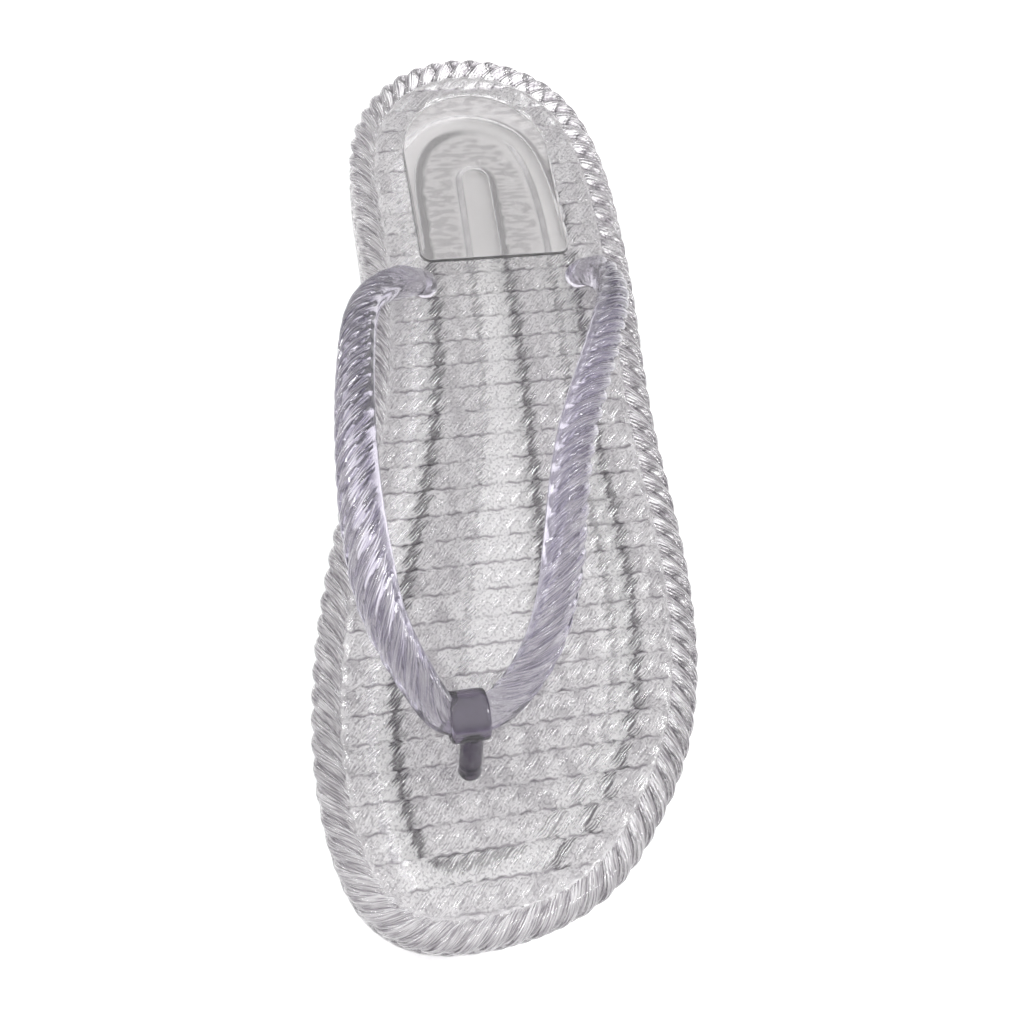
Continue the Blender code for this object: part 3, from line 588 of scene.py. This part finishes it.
def clear_plastic(name, tint, shade_and_grain_tint, milk, roughness, absorbed, density):
    """Clear moulded plastic: tinted through its depth and a little milky, with fine filaments along its ropes,
    specks on its footbed, a scored tread, and painted shade in its grooves, seams, ropes and channel walls."""
    material = bpy.data.materials.new(name)
    material.use_nodes = True
    graph = Graph(material.node_tree)
    shader = material.node_tree.nodes["Principled BSDF"]

    def stored(attribute):
        return graph.add("ShaderNodeAttribute", {"attribute_name": attribute}, output=2)

    def tinted(share, colour, other):
        return graph.add("ShaderNodeMix", {"data_type": "RGBA"}, {0: share, 6: colour, 7: other}, output=2)

    def noise(where, scale=1.0):
        return graph.add("ShaderNodeTexNoise", {"noise_dimensions": "2D"},
                         {"Vector": where, "Scale": scale, "Detail": 0.0})

    lay = graph.add("ShaderNodeUVMap", {"uv_map": "lay"})
    strand = graph.add("ShaderNodeSeparateXYZ", None, {0: lay})
    along = graph.add("ShaderNodeSeparateXYZ", None, {0: lay}, output=1)
    pressed = stored("relief")
    grain = stored("grain")
    place = graph.add("ShaderNodeTexCoord", output=3)
    cloud = noise(place, 260.0)
    grit_scale = graph.add("ShaderNodeVectorMath", {"operation": "MULTIPLY_ADD"},
                           {0: grain.math("CEIL"), 1: SCORES - SPECKS, 2: SPECKS})
    grit = noise(graph.add("ShaderNodeVectorMath", {"operation": "MULTIPLY"}, {0: place, 1: grit_scale}))
    fibre = noise(graph.add("ShaderNodeCombineXYZ", None,
                            {0: strand * FIBRES_PER_STRAND, 1: along * FIBRE_BREAKS}))
    strands = strand.swell()
    threads = (strand * THREADS_PER_STRAND).swell()
    depth = pressed * (threads * THREAD_DEPTH + strands * STRAND_ROUND)
    bulge = stored("bulge")
    bump = graph.add("ShaderNodeBump", None, {"Strength": 1.0, "Distance": 1.0, "Height": depth})
    # Painted shade: the grooves between strands and the seams between the footbed's rows are darkened towards
    # the groove tint, standing in for the shade in these creases.
    strand_groove_shade = (1.0 - strands.rise(0.0, 0.42)) * pressed
    row_end = (along.math("FRACT") * 2.0 - 1.0).math("ABSOLUTE")
    row_seam_shade = row_end.rise(0.82, 0.99) * bulge * (cloud.rise(0.35, 0.60) * 0.75 + 0.2)
    groove_and_seam_shade = strand_groove_shade.math("MAXIMUM", row_seam_shade).math("MINIMUM", 1.0)
    streaks = fibre.rise(0.45, 0.66) * pressed * 0.75
    rubbed = grain * (grit.rise(0.40, 0.60) * 0.55 + 0.20)
    # Painted shade: the rim's and the strap's ropes are darkened a little, unevenly by the cloud noise.
    rope_shade = pressed.rise(0.5, 0.9) * (cloud.rise(0.35, 0.65) * 0.20 + 0.06)
    specks = grit.rise(0.56, 0.68) * bulge * 0.60
    # The body colour mixes grain (filament streaks, tread scoring, specks) with the painted rope shade.
    body = tinted((streaks + rope_shade).math("MAXIMUM", rubbed).math("MAXIMUM", specks), tint, shade_and_grain_tint)
    colour_with_groove_shade = tinted(groove_and_seam_shade, body, shade_and_grain_tint)
    tree = material.node_tree
    tree.links.new(colour_with_groove_shade.socket, shader.inputs["Base Color"])
    tree.links.new(bump.socket, shader.inputs["Normal"])
    tree.links.new((cloud * 0.10 + grain * 0.15 + roughness).socket, shader.inputs["Roughness"])
    shader.inputs["Transmission Weight"].default_value = 1.0 - milk
    shader.inputs["IOR"].default_value = 1.50
    # Painted shade: a near-black lining, mixed in by the wall attribute over the channel walls, stands in for
    # their dark refraction.
    line = graph.add("ShaderNodeBsdfPrincipled", None,
                     {"Base Color": WALL_SHADE_TINT, "Roughness": 0.6, "Specular IOR Level": 0.0})
    walls = stored("wall") * (cloud * 0.6 + 0.7)
    surface = graph.add("ShaderNodeMixShader", None,
                        {0: walls.rise(0.04, 0.40) * WALL_SHADE_COVER, 1: Wire(graph, shader.outputs[0]), 2: line})
    tree.links.new(surface.socket, tree.nodes["Material Output"].inputs["Surface"])
    absorption = graph.add("ShaderNodeVolumeAbsorption", None, {"Color": absorbed, "Density": density})
    tree.links.new(absorption.socket, tree.nodes["Material Output"].inputs["Volume"])
    return material


def plate_loop(grow, arc_steps=72, corner_steps=10):
    """Plan of the heel window: a straight front with small corners and a round back."""
    half = PLATE_WIDTH / 2
    loop = []
    for side, start in ((-1, 180), (1, 270)):
        for turn in np.radians(np.linspace(start, start + 90, corner_steps + 1)):
            loop.append((HEEL_AXIS + side * (half - PLATE_CORNER) + (PLATE_CORNER + grow) * math.cos(turn),
                         PLATE_FRONT + PLATE_CORNER + (PLATE_CORNER + grow) * math.sin(turn)))
    for turn in np.radians(np.linspace(0, 180, arc_steps + 1)):
        loop.append((HEEL_AXIS + (half + grow) * math.cos(turn),
                     PLATE_BACK - half + (half + grow) * math.sin(turn)))
    return np.array(loop)


def inset(loop, distance):
    """Move a counter-clockwise loop inwards."""
    along = np.roll(loop, -1, axis=0) - np.roll(loop, 1, axis=0)
    along /= np.linalg.norm(along, axis=1)[:, None]
    return loop + np.column_stack([-along[:, 1], along[:, 0]]) * distance


def at_height(loop, height):
    """Places of a plan loop at a height or at heights."""
    return np.column_stack([loop, np.broadcast_to(height, len(loop))])


def grid(loop, holes, step_x, step_y, first_y, margin):
    """Staggered points inside a loop and outside its holes, clear of their edges, and that clearance."""
    low, high = loop.min(axis=0), loop.max(axis=0)
    rows = np.arange(math.floor((low[1] - first_y) / step_y), math.ceil((high[1] - first_y) / step_y))
    spots = np.vstack([np.column_stack([np.arange(low[0] + (row % 2) * step_x / 2, high[0], step_x),
                                        np.full(len(np.arange(low[0] + (row % 2) * step_x / 2, high[0],
                                                              step_x)), first_y + row * step_y)])
                       for row in rows])
    keep = inside(loop, spots)
    for hole in holes:
        keep &= ~inside(hole, spots)
    spots = spots[keep]
    room = clear_of([loop, *holes], spots)
    return spots[room > margin], room[room > margin]


def mid_channel_plan():
    """Plan of the central channel: its two sides from the table, between round ends."""
    rows = np.array(MID_CHANNEL) * (HALF_WIDTH, HALF_LENGTH, SOLE_WIDTH)
    knots, read = spline(rows)
    rows = read(np.linspace(0, knots[-1], 60))
    back, front = rows[0], rows[-1]
    turns = np.radians(np.linspace(0, 180, 25))[1:-1]
    heel_end = back[:2] + back[2] * np.column_stack([np.cos(turns), np.sin(turns)])
    toe_end = front[:2] - front[2] * np.column_stack([np.cos(turns), np.sin(turns) * MID_CHANNEL_TOE_ROUND])
    inner_side = rows[:, :2] - rows[:, 2:] * (1, 0)
    outer_side = rows[::-1, :2] + rows[::-1, 2:] * (1, 0)
    return np.vstack([heel_end, inner_side, toe_end, outer_side])


def sole_side(skin, edge):
    """Build the side from the tread up over the rim to the footbed, and return its first and last ring."""
    count = edge.strands * ROPE_COLUMNS
    strands = np.arange(count) / ROPE_COLUMNS

    def ring(step, depth, height, relief=0.0, turn=0.0):
        """One ring, shifted along the edge by half a strand for each step of the rope's lay."""
        spots, inward = edge.read(strands + step / 2)
        y = spots[:, 1]
        out = np.column_stack([-inward * math.cos(turn), np.full(count, math.sin(turn))])
        return skin.points(at_height(spots + inward * np.reshape(depth(y), (-1, 1)), height(y)),
                           strand=strands, row=turn / math.pi, relief=relief, out=out)

    def rim_middle(y):
        return footbed(y) + RIM_RISE - ROPE_RADIUS

    def groove_height(y):
        return rim_middle(y) + ROPE_RADIUS * math.sin(math.radians(-35)) - COURSE_GROOVE / 2

    def lower_radius(y):
        return (groove_height(y) - underside(y) - BASE_BAND) / 2

    def flat(value):
        return lambda y: np.full(len(y), value)

    rings = []
    for turn in np.radians((90, 60, 30, 0)):
        rings.append(ring(0, flat(BASE_SETBACK + BASE_CHAMFER * math.sin(turn)),
                          lambda y, turn=turn: underside(y) + BASE_CHAMFER * (1 - math.cos(turn))))
    rings.append(ring(0, flat(BASE_SETBACK), lambda y: underside(y) + BASE_BAND - BASE_CHAMFER))
    for degrees in np.linspace(*LOWER_TURNS):
        turn = math.radians(degrees)
        rings.append(ring((degrees + 50) / 50,
                          lambda y, turn=turn: LOWER_SETBACK + lower_radius(y) * (1 - math.cos(turn)),
                          lambda y, turn=turn: (underside(y) + BASE_BAND
                                                + lower_radius(y) * (1 + math.sin(turn))),
                          relief=0.85, turn=turn))
    rings.append(ring(2.6, flat(COURSE_GROOVE), groove_height, relief=0.3))
    for degrees in np.linspace(*UPPER_TURNS):
        turn = math.radians(degrees)
        rings.append(ring(3 + (degrees + 35) / 55, flat(ROPE_RADIUS * (1 - math.cos(turn))),
                          lambda y, turn=turn: rim_middle(y) + ROPE_RADIUS * math.sin(turn),
                          relief=1.0, turn=turn))
    rings.append(ring(3 + 187 / 55, flat(FOOTBED_EDGE), footbed))
    for lower, upper in zip(rings, rings[1:]):
        skin.band(lower, upper, strands=edge.strands)
    return rings[0], rings[-1]


def channel_wall(skin, plan, side):
    """Add a channel's wall, from the tread to its roof, and return its first and last ring.

    The side is 1 where the channel lies inside the loop. Each wall carries painted shade, a near-black
    lining that stands in for the dark refraction seen through the sole: darkest on walls that face the
    inner side of the foot, where they are seen best through the sole, and least on walls across the foot.
    """
    rings = []
    facing = side * (inset(plan, 1.0) - plan)
    # Painted shade on the wall, set by the way the wall faces.
    painted_wall_shade = 0.60 - 0.36 * facing[:, 0] - 0.40 * np.abs(facing[:, 1])
    for step in range(CHANNEL_WALL_STEPS):
        share = step / (CHANNEL_WALL_STEPS - 1)
        loop = inset(plan, side * (CHANNEL_DRAFT / 2 + CHANNEL_WALL * (share - 0.5)))
        height = underside(loop[:, 1]) + CHANNEL_DEPTH * share ** 2 * (3 - 2 * share)
        band = math.pi * (CHANNEL_WALL_START + (1 - CHANNEL_WALL_START) * share)
        rings.append(skin.points(at_height(loop, height), wall=painted_wall_shade * math.sin(band) ** 2,
                                 out=(0, 0, -1)))
    for lower, upper in zip(rings, rings[1:]):
        first, second = (upper, lower) if side > 0 else (lower, upper)
        skin.band(first, second)
    return rings[0], rings[-1]


def slant(share):
    """How far a strand has turned at a share of its row, from half a turn back to half a turn on."""
    return np.arcsin(2 * np.clip(share, 0, 1) - 1) / math.pi


def row_place(y):
    """Place among the footbed's rows: the row and the share of the way across it."""
    return (y - PLATE_FRONT + ROW_GROOVE_TO_PLATE) / ROW_PITCH


def strand_count(x, place, row):
    """Count of strands at spots of the footbed that belong to the given rows."""
    return x / ROW_STRAND_PITCH - ROW_STRAND_LAY * slant(place - row) + ROW_STRAND_SHIFT * row


def face_strands(corners):
    """Count of strands at the corners of the footbed's faces, each face read in its own row."""
    place = np.where(corners[..., 6] > 0, corners[..., 4], row_place(corners[..., 1]))
    row = np.floor(place.mean(axis=1))[:, None]
    return strand_count(corners[..., 0], place, row)


def bed_lines(loop, hole):
    """Lines of points across the footbed, one on each strand's groove and the rest between them.

    The strands press the seams between rows into waves. Returns the points, their row, their share of the
    way across it, their softness towards the edges, and the pairs of neighbours along the seams.
    """
    low, high = loop.min(axis=0), loop.max(axis=0)
    first = PLATE_FRONT - ROW_GROOVE_TO_PLATE
    step = ROW_STRAND_PITCH / ROW_COLUMNS
    table = []
    for row in range(math.floor((low[1] - first) / ROW_PITCH), math.ceil((high[1] - first) / ROW_PITCH)):
        for share in ROW_SHARES:
            start = ROW_STRAND_PITCH * (ROW_STRAND_LAY * slant(share) - ROW_STRAND_SHIFT * row)
            column = np.arange(math.ceil((low[0] - start) / step), math.floor((high[0] - start) / step))
            y = first + (row + share) * ROW_PITCH
            table += [(start + step * i, y, row, share) for i in column]
    table = np.array(table)
    table = table[inside(loop, table) & ~inside(hole, table)]
    room = clear_of([loop, hole], table[:, :2])
    table, room = table[room > 0.0004], room[room > 0.0004]
    gap = np.diff(table[:, 0])
    near = (gap > 0) & (gap < 1.01 * step) & (table[:-1, 3] == 0) & (table[1:, 3] == 0)
    x, y, row, share = table.T
    soft = np.clip(room / 0.0012, 0, 1)
    waves = [np.sin(2 * math.pi * (x / ROW_STRAND_PITCH + ROW_STRAND_SHIFT * (row + i))) for i in (0, 1)]
    y = y + ROW_WAVE * soft * (waves[0] * (1 - share) + waves[1] * share)
    return np.column_stack([x, y]), row, share, soft, np.flatnonzero(near)


edge = Edge()
skin = Skin()
tread_ring, footbed_ring = sole_side(skin, edge)
places = np.vstack(skin.rows)
footbed_plan = places[footbed_ring, :2]
tread_plan = places[tread_ring, :2]
pocket = plate_loop(CLEARANCE)
spots, row, share, soft, seams = bed_lines(footbed_plan, pocket)
bed = skin.points(at_height(spots, footbed(spots[:, 1])), strand=strand_count(spots[:, 0], row + share, row),
                  row=row + share, relief=ROW_STRAND_SHARE * soft * (1 - (2 * share - 1) ** 4), bulge=soft)
pocket_edge = skin.points(at_height(pocket, footbed(pocket[:, 1])))
pocket_floor = skin.points(at_height(pocket, footbed(pocket[:, 1]) - POCKET_DEPTH))
skin.fill(footbed_ring, [pocket_edge], bed, up=True, seams=[(bed[i], bed[i + 1]) for i in seams],
          lay=face_strands)
skin.band(pocket_edge, pocket_floor)
spots, _ = grid(pocket, [], 0.003, 0.003, PLATE_FRONT, 0.001)
skin.fill(pocket_floor, [], skin.points(at_height(spots, footbed(spots[:, 1]) - POCKET_DEPTH)), up=True)

channel = edge.read(np.arange(0, edge.strands, 0.25))
ring_outer = channel[0] + channel[1] * RING_CHANNEL_INSET
ring_inner = channel[0] + channel[1] * (RING_CHANNEL_INSET + RING_CHANNEL_WIDTH)
outer, outer_roof = channel_wall(skin, ring_outer, 1)
inner, inner_roof = channel_wall(skin, ring_inner, -1)
mid_plan = mid_channel_plan()
middle, middle_roof = channel_wall(skin, mid_plan, 1)


def tread(loop, holes, height):
    """Points of a region of the underside, at its height above the tread."""
    spots, _ = grid(loop, holes, 0.0022, 0.0022, 0.0, 0.0008)
    return skin.points(at_height(spots, underside(spots[:, 1]) + height), grain=float(height == 0),
                       out=(0, 0, -1))


places = np.vstack(skin.rows)
plans = {name: places[ring, :2] for name, ring in (
    ("outer", outer), ("inner", inner), ("middle", middle), ("roof", middle_roof))}
skin.fill(tread_ring, [outer], tread(tread_plan, [plans["outer"]], 0), up=False)
skin.band(inner_roof, outer_roof)
skin.fill(inner, [middle], tread(plans["inner"], [plans["middle"]], 0), up=False)
skin.fill(middle_roof, [], tread(plans["roof"], [], CHANNEL_DEPTH), up=False)

sole = skin.piece("sole_moulding")
relief_tree = rope_relief()
sole_plastic = clear_plastic("clear_sole", (1.0, 0.995, 0.995, 1.0), (0.26, 0.235, 0.265, 1.0),
                             0.07, 0.05, (0.80, 0.785, 0.780, 1.0), 3.0)
press(sole, relief_tree, {"Strand depth": RIM_STRAND_DEPTH, "Row height": ROW_HEIGHT,
                          "Material": sole_plastic})


def circle(x, y, radius, sides=48):
    """Plan of a circle, counter-clockwise."""
    turns = np.arange(sides) * 2 * math.pi / sides
    return np.column_stack([x + radius * np.cos(turns), y + radius * np.sin(turns)])


def turned(name, x, y, steps):
    """A closed round shape from its radii and heights, lowest first."""
    skin = Skin()
    rings = [skin.points(at_height(circle(x, y, radius), height)) for radius, height in steps]
    for lower, upper in zip(rings, rings[1:]):
        skin.band(lower, upper)
    skin.fan(rings[0], reverse=True)
    skin.fan(rings[-1], reverse=False)
    return skin.piece(name)


for place, radius in ((ANCHORS[0], STEM_RADIUS), (ANCHORS[1], STEM_RADIUS), (POST_PLACE, POST_RADIUS)):
    top = float(footbed(place[1]))
    steps = ((radius + STEM_GAP, top - STEM_SEEN - STEM_GAP), (radius + STEM_GAP, top + SOLE_THICKNESS))
    combine(sole, turned("socket", *place, steps), "DIFFERENCE")
dress(sole, "sole", 62)


# Heel window
# A smooth clear plate let into the footbed at the heel, polished, with a small round along its edge. It
# lies in its pocket with a hair of air below it, so its outline shows as one thin dark line.
PLATE_THICKNESS = 0.0020
PLATE_ROUND = 0.0005
PLATE_ROUND_STEPS = 4

skin = Skin()
seat = CLEARANCE - POCKET_DEPTH
rings = [skin.points(at_height(plate_loop(0), footbed(plate_loop(0)[:, 1]) + seat))]
for turn in np.linspace(0, 90, PLATE_ROUND_STEPS + 1):
    turn = math.radians(turn)
    loop = plate_loop(-PLATE_ROUND * (1 - math.cos(turn)))
    rise = seat + PLATE_THICKNESS - PLATE_ROUND * (1 - math.sin(turn))
    rings.append(skin.points(at_height(loop, footbed(loop[:, 1]) + rise)))
for lower, upper in zip(rings, rings[1:]):
    skin.band(lower, upper)
crown = plate_loop(-PLATE_ROUND)
spots, _ = grid(crown, [], 0.002, 0.002, PLATE_FRONT, 0.001)
top = skin.points(at_height(spots, footbed(spots[:, 1]) + seat + PLATE_THICKNESS))
skin.fill(rings[-1], [], top, up=True)
spots, _ = grid(plate_loop(0), [], 0.002, 0.002, PLATE_FRONT, 0.001)
bottom = skin.points(at_height(spots, footbed(spots[:, 1]) + seat))
skin.fill(rings[0], [], bottom, up=False)
window = skin.piece("window_plate")
window.data.materials.append(
    clear_plastic("clear_window", (0.875, 0.865, 0.865, 1.0), (0.42, 0.39, 0.43, 1.0), 0.04, 0.0,
                  (0.80, 0.785, 0.790, 1.0), 3.0))
dress(window, "heel_window", 50)


# Strap
# One soft moulding in a deeper lavender: two arms of twisted rope, round outside and smooth and flat
# inside, that pass through the ring at the toe. Each ends in a smooth neck and a stem bonded in the sole.
ANCHOR_RISE = 0.0015
STRAP_RISE = 0.0390
STRAP_BULGE = 0.0234
STRAP_WIDTH = 0.0112
STRAP_THICKNESS = 0.0082
STRAP_FACE = 0.36
STRAP_STRAND_PITCH = 0.0057
STRAP_STRAND_DEPTH = 0.0014
STRAP_STRAND_TURNS = 6
STRAP_SIDES = 48
STRAP_RINGS_PER_STRAND = 10
STRAP_STEP = STRAP_STRAND_PITCH / STRAP_RINGS_PER_STRAND
INNER_ARM = (
    # along, out, rise, tilt, rope
    (0.012, 0.12, 0.13, 20, 0.0),
    (0.034, 0.33, 0.22, 20, 0.4),
    (0.089, 0.63, 0.37, 22, 1.0),
    (0.185, 0.83, 0.56, 25, 1.0),
    (0.300, 0.92, 0.74, 28, 1.0),
    (0.423, 0.98, 0.90, 32, 1.0),
    (0.539, 1.00, 0.97, 38, 1.0),
    (0.643, 0.99, 1.00, 45, 1.0),
    (0.737, 0.94, 0.97, 52, 1.0),
    (0.812, 0.86, 0.90, 60, 1.0),
    (0.884, 0.69, 0.77, 68, 1.0),
)
OUTER_ARM = (
    # along, out, rise, tilt, rope
    (0.014, 0.10, 0.13, 20, 0.0),
    (0.041, 0.24, 0.22, 20, 0.4),
    (0.098, 0.37, 0.37, 22, 1.0),
    (0.160, 0.42, 0.52, 24, 1.0),
    (0.242, 0.42, 0.68, 27, 1.0),
    (0.341, 0.40, 0.82, 30, 1.0),
    (0.434, 0.37, 0.92, 34, 1.0),
    (0.547, 0.36, 0.98, 40, 1.0),
    (0.650, 0.42, 1.00, 46, 1.0),
    (0.745, 0.51, 0.97, 52, 1.0),
    (0.831, 0.58, 0.90, 60, 1.0),
    (0.901, 0.58, 0.79, 68, 1.0),
)
RING_BACK = 0.0086
RING_ASIDE = -0.0012
RING_HEIGHT = 0.0180
RING_SHOULDER = 0.0030
RING_STRAP_WIDTH = 0.0086
RING_STRAP_THICKNESS = 0.0080
INNER_FLARE = (0.0096, 0.0057, 0.0048)
OUTER_FLARE = (0.0128, 0.0048, 0.0056)
RING_CENTRE = np.array([*(POST_PLACE + (RING_ASIDE, RING_BACK)), float(footbed(POST_PLACE[1])) + RING_HEIGHT])


def arm_stations(anchor, table, flare, side):
    """Places along one arm from the neck to the ring: point, direction of the strap's back, width,
    thickness, roundness and depth of the strands. The flare is the arm's last turn before the ring."""
    base = np.array([*anchor, float(footbed(anchor[1]))])
    stations = [(base + (0, 0, rise), 0.0, 2 * STEM_RADIUS, 2 * STEM_RADIUS, 1.0, 0.0)
                for rise in (0, ANCHOR_RISE)]
    places = []
    for along, out, rise, tilt, rope in table:
        x, y = anchor + along * (RING_CENTRE[:2] - anchor)
        height = float(footbed(y)) + rise * STRAP_RISE
        places.append((along, np.array([x + side * out * STRAP_BULGE, y, height]), tilt, rope))
    aside, back, up = flare
    along = 1 - back / (anchor[1] - RING_CENTRE[1])
    places.append((along, RING_CENTRE + (side * aside, back, up), 80, 0.8))
    for along, point, tilt, rope in places:
        full = np.interp(along, (0, places[1][0]), (0, 1))
        near_ring = np.interp(along, (places[-4][0], 1), (0, 1))
        width = 2 * STEM_RADIUS + full * (STRAP_WIDTH - 2 * STEM_RADIUS)
        thickness = 2 * STEM_RADIUS + full * (STRAP_THICKNESS - 2 * STEM_RADIUS)
        width += near_ring * (RING_STRAP_WIDTH - STRAP_WIDTH)
        thickness += near_ring * (RING_STRAP_THICKNESS - STRAP_THICKNESS)
        stations.append((point, tilt, width, thickness, max(1 - full, near_ring), rope))
    shoulder = RING_CENTRE + (side * RING_SHOULDER, 0, 0)
    stations.append((shoulder, 90.0, RING_STRAP_WIDTH, RING_STRAP_THICKNESS, 1.0, 0.0))
    return stations


def strap_line():
    """Read the strap's centre line from its inner neck by way of the ring to its outer neck.

    The reader gives, at distances from the ring, the points, the directions of the strap's back and of its
    width, and the columns width, thickness, roundness and strand depth. The second result is its two ends.
    """
    inner = arm_stations(ANCHORS[0], INNER_ARM, INNER_FLARE, -1)
    outer = arm_stations(ANCHORS[1], OUTER_ARM, OUTER_FLARE, 1)
    apex = (RING_CENTRE, 90.0, RING_STRAP_WIDTH, RING_STRAP_THICKNESS, 1.0, 0.0)
    stations = inner + [apex] + outer[::-1]
    knots, read = spline([station[0] for station in stations])
    columns = np.array([station[1:] for station in stations])
    origin = knots[len(inner)]
    step = CLEARANCE

    def at(distances):
        where = np.asarray(distances, float) + origin
        points = read(where)
        ahead = read(where + step) - read(where - step)
        ahead /= np.linalg.norm(ahead, axis=1)[:, None]
        tilt, width, thickness, roundness, rope = (ease(knots, columns[:, i], where) for i in range(5))
        side = np.where(where < origin, -1.0, 1.0)
        level = np.column_stack([-ahead[:, 1], ahead[:, 0]])
        level /= np.maximum(np.linalg.norm(level, axis=1), step)[:, None]
        outward = np.column_stack([side, np.zeros_like(side)])
        level = np.where((level * outward).sum(axis=1)[:, None] < 0, -level, level)
        steep = np.abs(ahead[:, 2])[:, None] ** 4
        level = level * (1 - steep) + outward * steep
        turn = np.radians(tilt)[:, None]
        back = np.column_stack([level * np.cos(turn), np.sin(turn[:, 0])])
        back -= (back * ahead).sum(axis=1)[:, None] * ahead
        back /= np.linalg.norm(back, axis=1)[:, None]
        return points, back, np.cross(ahead, back), width, thickness, roundness, rope

    return at, (-origin, knots[-1] - origin)


def strap_rings(skin, at, distances, grow=0.0, shift=(0, 0, 0)):
    """Add the strap's sections at the given distances from the ring, and return their rings."""
    points, backs, sides, widths, thicknesses, roundness, ropes = at(distances)
    turns = np.arange(STRAP_SIDES) * 2 * math.pi / STRAP_SIDES
    rings = []
    for i, distance in enumerate(distances):
        flat = 1 - roundness[i]
        across, out = np.cos(turns), np.sin(turns)
        face = out < -1e-9
        deep = np.where(face, STRAP_FACE * flat + 0.5 * (1 - flat), (1 - STRAP_FACE) * flat + 0.5 * (1 - flat))
        bulge = np.where(face, -np.abs(out) ** (1 - 0.5 * flat), out)
        half, thick = widths[i] / 2, thicknesses[i]
        u = (half + grow) * across
        v = (deep * thick + grow) * bulge
        outward = half * across[:, None] * sides[i] + (deep * thick * bulge)[:, None] * backs[i]
        outward /= np.linalg.norm(outward, axis=1)[:, None]
        ring = points[i] + shift + u[:, None] * sides[i] + v[:, None] * backs[i]
        strand = STRAP_STRAND_TURNS * turns / (2 * math.pi) + distance / STRAP_STRAND_PITCH
        on_back = np.clip(out / 0.25 + 0.2, 0, 1) if grow == 0 else 0.0
        rings.append(skin.points(ring, strand=strand, row=turns / math.pi, relief=ropes[i] * on_back,
                                 out=outward))
    return rings


def close_tube(skin, rings):
    """Join a row of the strap's sections and close both ends."""
    for first, second in zip(rings, rings[1:]):
        skin.band(second, first, strands=STRAP_STRAND_TURNS)
    skin.fan(rings[0], reverse=False)
    skin.fan(rings[-1], reverse=True)


def plug_levels(y, stem):
    """Radius and height of the two ends of a stem: in its socket and at the footbed."""
    high = float(footbed(y))
    return (stem, high - STEM_SEEN), (stem, high)


skin = Skin()
at, (start, end) = strap_line()
between = np.arange(math.ceil(start / STRAP_STEP + 0.5), math.floor(end / STRAP_STEP + 0.5))
arms = strap_rings(skin, at, [start, *between * STRAP_STEP, end])
turns = np.arange(STRAP_SIDES) * 2 * math.pi / STRAP_SIDES
plugs = []
for anchor, place in ((ANCHORS[0], start), (ANCHORS[1], end)):
    _, backs, sides, *_ = at([place])
    spokes = np.cos(turns)[:, None] * sides[0] + np.sin(turns)[:, None] * backs[0]
    plugs.append([skin.points([(*(anchor + radius * spoke[:2]), height) for spoke in spokes])
                  for radius, height in plug_levels(anchor[1], STEM_RADIUS)[:-1]])
close_tube(skin, plugs[0] + arms + plugs[1][::-1])
strap = skin.piece("strap_rope")
strap_plastic = clear_plastic("clear_strap", (0.96, 0.95, 0.97, 1.0), (0.34, 0.31, 0.42, 1.0),
                              0.06, 0.05, (0.665, 0.645, 0.70, 1.0), 160.0)
press(strap, relief_tree, {"Strand depth": STRAP_STRAND_DEPTH, "Row height": 0.0, "Material": strap_plastic})
dress(strap, "strap", 55)


# Ring and toe post
# One smooth moulding of a darker smoky plastic: a collar with soft edges that clasps the strap, and under
# it the post between the toes, whose stem is bonded in the sole.
RING_LENGTH = 0.0094
RING_WALL = 0.0016
RING_ROUNDING = 0.0010
POST_LEAN = 0.55
SMOKE_VOXEL = 0.00024
SMOKE_SMOOTHING = 6

half = RING_LENGTH / 2
wall = CLEARANCE + RING_WALL
skin = Skin()
rings = []
for turn in np.radians(np.linspace(0, 90, 6)):
    rings += strap_rings(skin, at, [0.0], wall - RING_ROUNDING * (1 - math.sin(turn)),
                         shift=(-half + RING_ROUNDING * (1 - math.cos(turn)), 0, 0))
for turn in np.radians(np.linspace(90, 0, 6)):
    rings += strap_rings(skin, at, [0.0], wall - RING_ROUNDING * (1 - math.sin(turn)),
                         shift=(half - RING_ROUNDING * (1 - math.cos(turn)), 0, 0))
close_tube(skin, rings)
post = skin.piece("ring_post")

x, y = POST_PLACE
top = POST_PLACE + POST_LEAN * (RING_CENTRE[:2] - POST_PLACE)
skin = Skin()
rings = [skin.points(at_height(circle(x, y, radius), height))
         for radius, height in plug_levels(y, POST_RADIUS)]
rings.append(skin.points(at_height(circle(x, y, POST_RADIUS), float(footbed(y)) + ROW_HEIGHT)))
rings.append(skin.points(at_height(circle(*top, POST_RADIUS), RING_CENTRE[2])))
for lower, upper in zip(rings, rings[1:]):
    skin.band(lower, upper)
skin.fan(rings[0], reverse=True)
skin.fan(rings[-1], reverse=False)
combine(post, skin.piece("post_shaft"), "UNION")

skin = Skin()
steps = math.ceil((RING_LENGTH + RING_STRAP_WIDTH) / 2 / STRAP_STEP)
close_tube(skin, strap_rings(skin, at, np.arange(-steps, steps + 1) * STRAP_STEP, CLEARANCE))
combine(post, skin.piece("bore"), "DIFFERENCE")

remesh = post.modifiers.new("skin", "REMESH")
remesh.mode = "VOXEL"
remesh.voxel_size = SMOKE_VOXEL
soften = post.modifiers.new("soften", "SMOOTH")
soften.factor = 0.5
soften.iterations = SMOKE_SMOOTHING
settle(post)
post.data.materials.clear()
post.data.materials.append(
    clear_plastic("smoky_post", (0.85, 0.83, 0.89, 1.0), (0.42, 0.39, 0.45, 1.0), 0.03, 0.03,
                  (0.62, 0.575, 0.655, 1.0), 900.0))
dress(post, "toe_post", 60)
